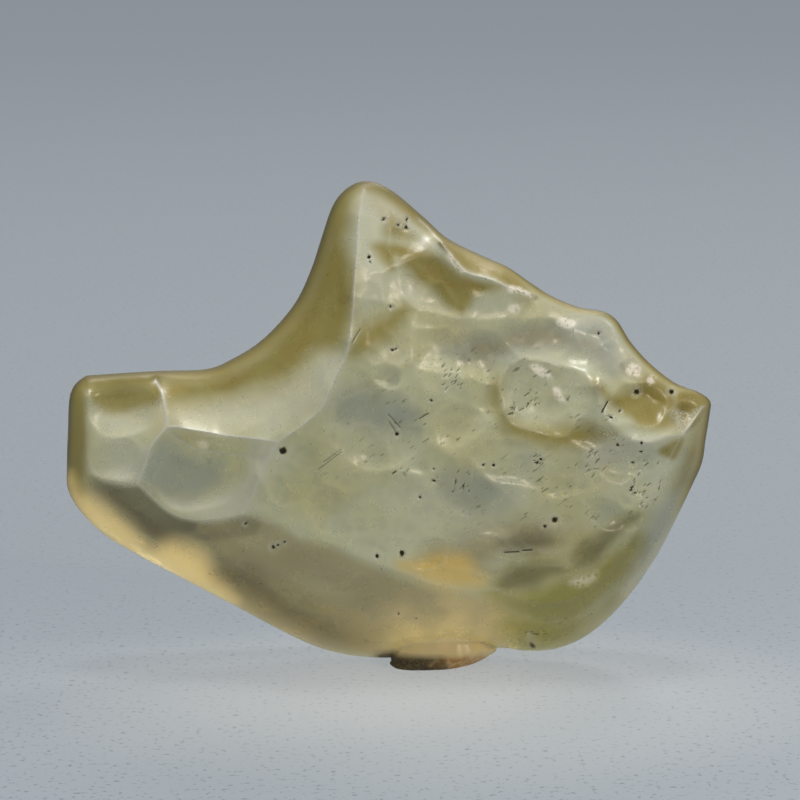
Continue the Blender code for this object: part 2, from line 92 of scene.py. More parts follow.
# How uneven the glass is: lumps and small cups as height and length, and the wavering edges of the scoops
LUMPS = ((0.09, 4.5), (0.035, 1.7), (0.014, 0.6))
WAVER = 0.45
WAVER_LENGTH = 2.2
SCOOP_LEAN = 0.4
SCOOP_BLEND = 0.012
SCOOP_SCALE = 2.1
CUPS = ((0.28, 1.9), (0.09, 1.0))

# Foot: the flat underside, rings up into the stone as height, scale and shift to the right, and its crumbs
FOOT_LEVEL = 0.33
FOOT_CENTRE = (2.7, 0.2)
FOOT_HALF_WIDTH = 2.7
FOOT_HALF_DEPTH = 2.6
FOOT_RINGS = (
    (0.0, 0.97, -0.1), (0.12, 1.02, 0.0), (0.25, 1.04, 0.15), (0.4, 1.06, 0.3), (0.55, 1.09, 0.42),
    (0.7, 1.12, 0.55), (0.9, 1.12, 0.65), (1.1, 1.1, 0.65), (1.5, 1.0, 0.55), (2.2, 0.8, 0.4),
)
FOOT_SIDES = 96
FOOT_CRUMBS = 0.16
RIGHT_CRUMBS = 0.08
FOOT_CRUMB_LENGTH = 0.45
FOOT_LUMPS = ((2, 0.05, 0.4), (3, 0.06, 1.9), (5, 0.035, 0.8))

# Outline, clockwise from the top of the arm's end: u, v and the radius of the rounded rim
OUTLINE = (
    (-20.0, 17.1, 1.0), (-19.2, 18.1, 0.6), (-18.2, 18.27, 0.45), (-14.6, 18.5, 0.45),
    (-11.5, 18.62, 0.6), (-9.88, 19.25, 0.8), (-8.25, 20.25, 0.9), (-6.88, 21.56, 0.9),
    (-5.75, 23.06, 0.9), (-4.88, 25.0, 0.9), (-4.25, 26.94, 0.9), (-3.62, 28.75, 0.8),
    (-2.9, 29.75, 0.6), (-1.9, 30.32, 0.5), (-0.9, 30.28, 0.45), (0.3, 29.65, 0.4),
    (2.12, 28.12, 0.4), (3.6, 26.8, 0.5), (5.88, 25.66, 0.6), (7.38, 25.0, 0.6),
    (8.75, 24.06, 0.6), (10.12, 23.19, 0.5), (11.88, 22.47, 0.5), (13.25, 22.25, 0.5),
    (14.19, 21.69, 0.5), (15.12, 20.25, 0.5), (16.38, 18.88, 0.5), (17.88, 17.75, 0.45),
    (19.31, 17.19, 0.35), (20.05, 16.62, 0.35), (20.02, 15.8, 0.4), (19.75, 14.12, 0.6),
    (19.53, 12.75, 0.7), (18.81, 11.12, 0.9), (17.76, 8.95, 1.1), (16.7, 6.95, 1.3),
    (15.38, 5.0, 1.4), (13.88, 3.25, 1.4), (12.19, 1.88, 1.4), (10.44, 1.16, 1.3),
    (8.62, 1.0, 1.3), (6.88, 1.19, 1.3), (4.5, 0.95, 1.3), (2.12, 0.78, 1.3),
    (-0.25, 0.58, 1.2), (-2.62, 0.76, 1.0), (-4.88, 1.38, 0.9), (-7.38, 2.58, 0.8),
    (-9.62, 3.78, 0.8), (-13.75, 5.94, 0.9), (-15.88, 7.06, 1.0), (-17.85, 8.25, 1.1),
    (-19.35, 9.7, 1.2), (-20.15, 11.1, 1.2), (-20.22, 12.69, 1.2), (-20.16, 14.75, 1.1),
)

# Ridges of the front skin: u, v and height above the middle of the stone
ARM_CORNER = (-13.94, 15.0, 3.1)
ARM_HEEL = (-15.81, 11.5, 3.1)
ARRIS_BEND = (-7.0, 14.06, 5.8)
ARRIS_FOOT = (-9.19, 9.62, 4.6)
LEDGE_END = (-7.75, 12.88, 5.5)
BOWL_LEFT = (6.88, 4.81, 5.1)
BOWL_RIGHT = (15.75, 9.75, 3.9)
TIP_STEP = (18.31, 14.5, 2.4)

FRONT_RIDGES = {
    "arm step": ((-14.69, 18.0, 0.6), (-14.31, 17.19, 1.6), (-14.06, 16.12, 2.5), ARM_CORNER),
    "arm lower step": (
        ARM_CORNER, (-14.5, 14.38, 3.2), (-15.0, 13.69, 3.25), (-15.31, 12.75, 3.2), ARM_HEEL,
    ),
    "hollow floor": (
        ARM_CORNER, (-13.25, 15.0, 3.3), (-12.19, 14.81, 3.6), (-11.38, 14.69, 3.8), (-10.0, 14.44, 4.2),
        (-8.75, 14.31, 4.8), ARRIS_BEND,
    ),
    "hollow ledge": (
        ARM_CORNER, (-13.62, 14.5, 3.1), (-12.94, 14.06, 3.15), (-12.19, 13.62, 3.3), (-11.38, 13.5, 3.5),
        (-9.06, 13.19, 4.4), LEDGE_END,
    ),
    "lower arris": (ARRIS_FOOT, (-8.75, 10.5, 4.9), (-8.31, 11.62, 5.3), LEDGE_END),
    "middle arris": (LEDGE_END, (-7.38, 13.62, 5.7), ARRIS_BEND),
    "upper arris": (
        ARRIS_BEND, (-5.81, 14.88, 6.0), (-5.0, 15.5, 6.2), (-4.25, 16.25, 6.3), (-3.75, 17.38, 6.25),
        (-3.25, 18.44, 6.1), (-2.69, 19.75, 5.8), (-2.4, 21.4, 5.3), (-2.2, 24.25, 4.4),
        (-2.06, 26.12, 3.5), (-2.0, 27.69, 2.6), (-1.81, 29.0, 1.5), (-1.6, 29.8, 0.8),
    ),
    "arm brow": (
        (-18.88, 17.0, 1.7), (-18.94, 14.88, 2.2), (-18.88, 12.88, 2.4), (-18.44, 12.0, 2.6),
        (-17.75, 11.62, 2.8), (-16.88, 11.5, 3.0), ARM_HEEL,
    ),
    "left brow": (
        ARM_HEEL, (-15.0, 10.75, 3.3), (-14.06, 9.88, 3.6), (-13.12, 9.38, 3.9), (-12.0, 9.19, 4.2),
        (-10.5, 9.34, 4.45), ARRIS_FOOT,
    ),
    "brow": (
        ARRIS_FOOT, (-8.38, 9.31, 4.8), (-7.38, 9.06, 5.0), (-5.81, 9.06, 5.3), (-4.5, 8.25, 5.5),
        (-2.81, 7.31, 5.7), (-0.94, 6.56, 5.75), (0.62, 6.0, 5.7), (2.5, 5.31, 5.5), (4.38, 4.88, 5.3),
        BOWL_LEFT,
    ),
    "bowl lower edge": (
        BOWL_LEFT, (8.25, 4.12, 4.7), (9.69, 3.88, 4.4), (11.25, 4.19, 4.2), (13.12, 5.31, 4.0),
        (14.38, 6.75, 4.0), (15.19, 8.31, 3.9), BOWL_RIGHT,
    ),
    "bowl upper edge": (
        BOWL_LEFT, (6.38, 5.56, 5.3), (7.62, 6.25, 5.3), (10.0, 6.38, 5.2), (11.38, 6.31, 5.0),
        (12.19, 7.44, 4.8), (13.12, 7.88, 4.7), (14.38, 8.62, 4.4), BOWL_RIGHT,
    ),
    "right edge": (BOWL_RIGHT, (16.56, 11.31, 3.5), (17.38, 12.81, 3.0), (17.88, 13.75, 2.7), TIP_STEP),
    "tip edge": (TIP_STEP, (19.12, 15.56, 1.6), (19.6, 16.3, 0.8)),
    "crest strip": (
        (1.75, 28.0, 0.9), (2.38, 27.45, 1.6), (3.12, 26.6, 2.3), (4.25, 25.19, 2.9), (4.88, 24.62, 3.0),
        (6.25, 24.25, 2.7), (7.38, 23.75, 2.4), (8.44, 23.4, 1.9), (9.12, 23.0, 0.9),
    ),
    "ledge": (
        (13.0, 17.69, 4.6), (13.12, 16.44, 4.7), (13.88, 15.19, 4.7), (15.0, 14.25, 4.5),
        (16.25, 14.0, 4.1), (17.38, 14.38, 3.3), TIP_STEP,
    ),
}

# Ridges of the back skin, heights away from the eye
SPINE_TOP = (2.2, 19.0, 5.9)
SPINE_MIDDLE = (3.0, 16.0, 6.4)
BACK_LEFT = (-18.0, 13.4, 2.4)
BACK_RIGHT = (18.4, 15.6, 1.7)

BACK_RIDGES = {
    "upper spine": ((-1.3, 29.6, 0.9), (-1.0, 28.0, 2.0), (-0.2, 25.0, 3.5), (1.0, 22.0, 4.9), SPINE_TOP),
    "spine": (SPINE_TOP, (2.8, 17.5, 6.2), SPINE_MIDDLE),
    "left shoulder": (
        SPINE_TOP, (-1.5, 17.0, 5.3), (-5.0, 15.7, 4.5), (-9.0, 14.6, 3.7), (-13.0, 14.0, 3.2), BACK_LEFT,
    ),
    "right shoulder": (SPINE_MIDDLE, (7.0, 16.5, 5.8), (11.0, 16.8, 4.8), (15.0, 16.5, 3.4), BACK_RIGHT),
    "belly": (
        BACK_LEFT, (-16.6, 11.6, 3.0), (-13.5, 9.9, 3.3), (-9.0, 7.6, 3.9), (-4.5, 6.0, 4.6), (0.0, 5.0, 4.9),
        (4.0, 4.6, 4.9), (8.0, 5.2, 4.6), (12.0, 7.0, 4.2), (15.2, 9.8, 3.6), (17.4, 13.0, 2.5), BACK_RIGHT,
    ),
}

# Where a skin swells outwards (positive) or sags between its ridges: u, v, radius and pressure
FRONT_SWELLS = (
    (4.5, 14.5, 7.0, 0.05), (0.5, 22.5, 3.0, 0.03), (-8.0, 17.5, 4.0, -0.08), (-4.5, 23.5, 3.0, -0.06),
    (-12.0, 6.5, 3.5, 0.12), (-5.0, 4.5, 4.0, 0.12), (3.0, 2.8, 4.5, 0.14), (10.5, 2.2, 3.5, 0.1),
    (16.5, 6.8, 3.0, 0.1), (11.5, 5.3, 2.5, -0.14), (-12.0, 11.8, 2.5, -0.05), (-17.0, 14.5, 2.5, -0.04),
)
BACK_SWELLS = (
    (-2.0, 11.0, 7.0, 0.05), (9.0, 12.0, 6.0, 0.05), (-14.0, 12.0, 4.0, 0.03), (6.0, 20.0, 4.0, 0.03),
)

# Scoops: u, v, half length, half width, turn in degrees and depth
FRONT_SCOOPS = (
    (-6.2, 12.4, 2.1, 2.5, -15, 0.26), (-0.7, 15.0, 3.2, 2.7, -5, 0.32), (-2.4, 18.4, 1.8, 2.0, 35, 0.12),
    (-0.2, 18.2, 1.2, 1.0, 0, 0.16), (-0.2, 21.9, 2.0, 3.4, -12, 0.16), (-0.9, 26.9, 1.0, 2.6, 8, 0.08),
    (1.4, 27.0, 1.2, 1.9, -50, 0.12), (3.0, 23.6, 2.8, 1.5, -32, 0.18), (3.5, 20.4, 3.2, 2.0, -18, 0.13),
    (6.2, 19.7, 1.7, 2.1, 8, 0.22), (9.8, 20.2, 3.9, 1.4, -14, 0.24), (9.8, 16.9, 3.0, 2.4, -8, 0.34),
    (11.1, 17.3, 0.9, 0.8, 0, 0.16), (13.2, 20.3, 2.1, 1.2, -38, 0.14), (15.4, 18.5, 1.0, 0.8, -40, 0.12),
    (15.7, 16.6, 1.8, 1.4, 10, 0.26), (18.6, 15.6, 1.1, 0.9, 40, 0.14), (14.6, 12.9, 2.3, 1.3, -4, 0.30),
    (4.3, 15.9, 2.9, 2.0, 22, 0.12), (8.0, 12.6, 3.3, 1.3, -10, 0.15), (11.6, 11.9, 2.3, 1.2, 14, 0.14),
    (15.9, 11.6, 1.3, 2.1, -35, 0.12), (13.9, 9.5, 1.9, 1.0, -22, 0.18), (10.4, 8.8, 2.6, 1.7, -6, 0.17),
    (7.0, 9.3, 1.9, 1.3, 25, 0.12), (4.4, 11.2, 3.0, 1.8, -24, 0.14), (0.8, 10.2, 3.4, 1.9, 12, 0.12),
    (-3.1, 9.7, 2.4, 1.6, -18, 0.13), (2.4, 7.1, 1.5, 1.1, 0, 0.24), (5.6, 7.0, 2.4, 1.1, -8, 0.16),
    (-16.6, 16.1, 2.3, 1.7, -4, 0.20), (-17.2, 13.0, 1.7, 1.3, 0, 0.18), (-11.8, 11.9, 3.1, 2.0, 8, 0.22),
    (-9.7, 16.8, 3.8, 2.1, 20, 0.20), (-5.6, 6.1, 5.6, 2.0, -25, 0.16), (-13.8, 8.3, 3.1, 1.1, -28, 0.12),
    (3.8, 3.0, 5.0, 1.4, 0, 0.14), (13.8, 6.8, 2.1, 1.5, 55, 0.16), (1.9, 12.9, 2.0, 1.0, -12, 0.10),
    (16.9, 13.0, 1.0, 0.9, 20, 0.12), (12.4, 14.4, 1.6, 0.9, -12, 0.14), (5.9, 16.6, 1.2, 1.5, -10, 0.12),
)
BACK_SCOOPS = (
    (-13.0, 12.0, 3.8, 1.7, -15, 0.26), (-8.0, 11.5, 3.4, 2.4, -28, 0.34), (-6.5, 17.5, 3.2, 1.9, 34, 0.24),
    (-1.0, 11.2, 4.0, 3.0, 18, 0.38), (-0.6, 20.6, 2.2, 3.2, -8, 0.28), (5.5, 21.0, 3.2, 2.2, -34, 0.28),
    (7.2, 12.4, 3.8, 2.6, -12, 0.36), (11.5, 19.3, 3.2, 1.6, -26, 0.24), (12.6, 12.8, 2.6, 2.6, 20, 0.30),
    (5.6, 7.9, 3.6, 1.8, 6, 0.28), (0.9, 25.4, 1.4, 2.4, 10, 0.18), (16.4, 14.6, 1.5, 1.7, -30, 0.18),
    (-2.5, 3.4, 4.4, 1.5, -10, 0.18), (6.4, 3.0, 4.4, 1.3, 6, 0.16), (-16.4, 16.2, 2.6, 1.2, 0, 0.16),
    (2.9, 16.0, 2.6, 1.8, 28, 0.24), (-12.0, 6.6, 3.8, 1.2, -28, 0.15), (-4.6, 14.2, 1.9, 1.3, -20, 0.20),
    (9.6, 9.4, 1.9, 1.4, 30, 0.20), (14.4, 9.0, 1.7, 2.2, -24, 0.18), (-3.4, 7.6, 2.6, 1.4, -16, 0.20),
    (7.2, 16.6, 1.8, 1.3, -14, 0.18), (-11.6, 15.9, 2.3, 1.2, 6, 0.16),
)

# Pits where bubbles in the glass broke open: u, v, radius and depth
FRONT_PITS = (
    (-6.69, 13.5, 0.28, 0.30), (0.75, 7.12, 0.20, 0.25), (10.31, 9.19, 0.24, 0.30),
    (-0.81, 6.94, 0.15, 0.20), (-1.31, 25.62, 0.14, 0.20), (-1.25, 25.34, 0.08, 0.12),
    (0.5, 27.62, 0.10, 0.12), (1.0, 27.5, 0.12, 0.12), (1.06, 28.0, 0.09, 0.12), (-0.38, 27.94, 0.10, 0.10),
    (0.06, 22.5, 0.10, 0.12), (0.19, 19.81, 0.10, 0.12), (0.40, 19.9, 0.08, 0.12),
    (0.44, 14.56, 0.15, 0.20), (2.62, 16.62, 0.09, 0.12), (2.75, 12.38, 0.09, 0.12),
    (2.75, 11.62, 0.08, 0.10), (6.5, 12.62, 0.12, 0.14), (5.81, 12.62, 0.09, 0.12),
    (9.44, 13.0, 0.12, 0.14), (9.2, 12.75, 0.08, 0.12), (1.88, 10.62, 0.10, 0.12), (9.69, 8.81, 0.12, 0.14),
    (15.44, 17.19, 0.20, 0.22), (17.62, 17.19, 0.18, 0.20), (13.81, 15.62, 0.10, 0.14),
    (14.38, 16.0, 0.10, 0.14), (13.06, 20.88, 0.12, 0.14), (14.25, 13.88, 0.12, 0.14),
    (15.75, 14.0, 0.11, 0.14), (15.69, 13.44, 0.09, 0.12), (15.19, 12.81, 0.09, 0.12),
    (-7.31, 7.5, 0.16, 0.20), (-7.0, 7.64, 0.10, 0.14), (-6.56, 7.81, 0.08, 0.12),
    (-9.06, 8.94, 0.09, 0.12), (0.56, 3.31, 0.10, 0.12), (1.69, 3.06, 0.08, 0.10), (8.75, 1.9, 0.14, 0.12),
    (9.1, 1.7, 0.10, 0.10),
)
BACK_PITS = (
    (-3.0, 12.5, 0.30, 0.25), (9.2, 15.4, 0.25, 0.20), (4.4, 9.0, 0.28, 0.25), (-10.5, 13.2, 0.22, 0.20),
    (1.6, 20.4, 0.14, 0.16), (6.8, 18.9, 0.12, 0.14), (-6.2, 8.8, 0.12, 0.14), (12.1, 11.0, 0.14, 0.16),
)

# Cracks, slots and scratches: u and v of the middle, length, turn in degrees, half width and depth
FRONT_CUTS = (
    (-2.12, 20.7, 1.0, 58, 0.03, 0.08), (0.25, 15.4, 1.15, -47, 0.025, 0.08),
    (0.16, 15.0, 0.8, -58, 0.025, 0.08), (-3.75, 12.9, 1.9, 37, 0.02, 0.05),
    (-3.6, 13.2, 1.4, 36, 0.02, 0.05), (7.62, 7.19, 0.9, 2, 0.06, 0.14), (8.6, 7.3, 0.6, 4, 0.06, 0.14),
    (13.44, 16.25, 0.75, 62, 0.07, 0.18), (2.12, 15.69, 0.7, 30, 0.035, 0.10),
)
BACK_CUTS = ((4.0, 13.0, 1.6, 35, 0.05, 0.08), (-7.0, 15.2, 1.1, -40, 0.05, 0.08))

# Swarms of short scratches: u and v of the middle, half width, half height, count and turn in degrees
FRONT_SWARMS = (
    (3.9, 18.2, 0.6, 0.9, 16, 50), (8.0, 15.9, 0.6, 0.35, 7, 25), (4.5, 11.7, 0.55, 0.9, 12, 52),
    (0.7, 12.1, 0.5, 0.4, 6, 40), (16.0, 11.3, 1.0, 1.7, 26, 50), (8.9, 16.75, 0.55, 0.4, 7, 42),
    (9.4, 13.0, 0.45, 0.4, 6, 30), (12.4, 12.6, 1.2, 0.9, 8, 48), (8.9, 1.8, 0.9, 0.5, 14, 10),
)
BACK_SWARMS = ((2.0, 14.0, 0.9, 0.7, 10, 45), (9.0, 11.0, 0.7, 0.9, 10, 50), (-9.5, 12.0, 0.8, 0.6, 8, 30))

# Ridges worn to a thin pale line, partly a painted highlight along the crest, and how pale
PALE_RIDGES = {
    "arm step": 1.0, "arm lower step": 0.85, "hollow floor": 1.0, "hollow ledge": 0.5, "lower arris": 0.9,
    "middle arris": 1.0, "upper arris": 0.8, "crest strip": 0.7, "right edge": 0.4, "tip edge": 0.7,
    "arm brow": 0.08, "left brow": 0.5, "ledge": 0.4, "brow": 0.2,
}
PALE_LINE = 0.085

# Ridges that are still crisp, and how near to their line a point lies on them
CRISP_RIDGES = (
    "arm step", "arm lower step", "hollow floor", "lower arris", "middle arris", "upper arris", "crest strip",
    "left brow", "right edge", "tip edge",
)
ON_RIDGE = 0.035

# How the values at the points of the mesh are laid out, in millimetres
TINT_STEP = 0.3
RIDGE_STEP = 0.05
PIT_WAVER = 0.09
FRONT_BLUR = 0.5
SHELTERED_EDGE = 1.2
BEND_SMOOTHING = 1

# Bends, per millimetre, at which an edge is fully worn and a hollow fully darkened by painted shade
WORN_BEND = 1.8
HOLLOW_BEND = 0.9

# The coloured rim, partly painted shade: its width, its width to the right of THIN_FROM, and where it fades
# towards the foot
RIM_WIDTH = 1.1
THIN_RIM = 0.5
THIN_FROM = 8.0
LOW_RIM = 8.0
RIM_FADE = 4.0
LEAST_RIM_COLOUR = 0.15

# How fully pits and cuts are darkened, and the pale halo round a pit in radii
PIT_FILL = 1.6
CUT_FILL = 1.5
HALO_REACH = 1.5

# The stain of the foot: how far out it reaches in radii of the foot, and how high up
STAIN_REACH = 1.5
STAIN_BLUR = 0.3
STAIN_TOP = 1.1
STAIN_FADE = 0.5

# How strongly each tint covers the one before, in this order
TINT_SHARES = {
    "pale": 0.42, "grey": 0.72, "smoke": 0.85, "green": 0.9, "amber": 0.8, "gold": 0.9, "shade": 0.8,
    "olive": 0.9,
}

# The part of the front that is cupped all over, and how deep the cups are in the rest of it
CUPPED_FACE = (
    ("face", 1, 1, (-2.4, 28.3, -0.6, 27.1, 3.4, 25.4, 8.8, 23.5, 11.6, 21.9, 14.4, 21.1, 16.9, 17.7, 19.4,
        16.4, 18.1, 14.2, 16.9, 12.4, 15.4, 9.2, 12.5, 6.4, 6.9, 4.6, 3.1, 5, -2.8, 7.2, -8, 9.4, -6.9,
        13.6, -3.4, 17.1, -2.5, 20.2)),
)
CUPS_ELSEWHERE = 0.12
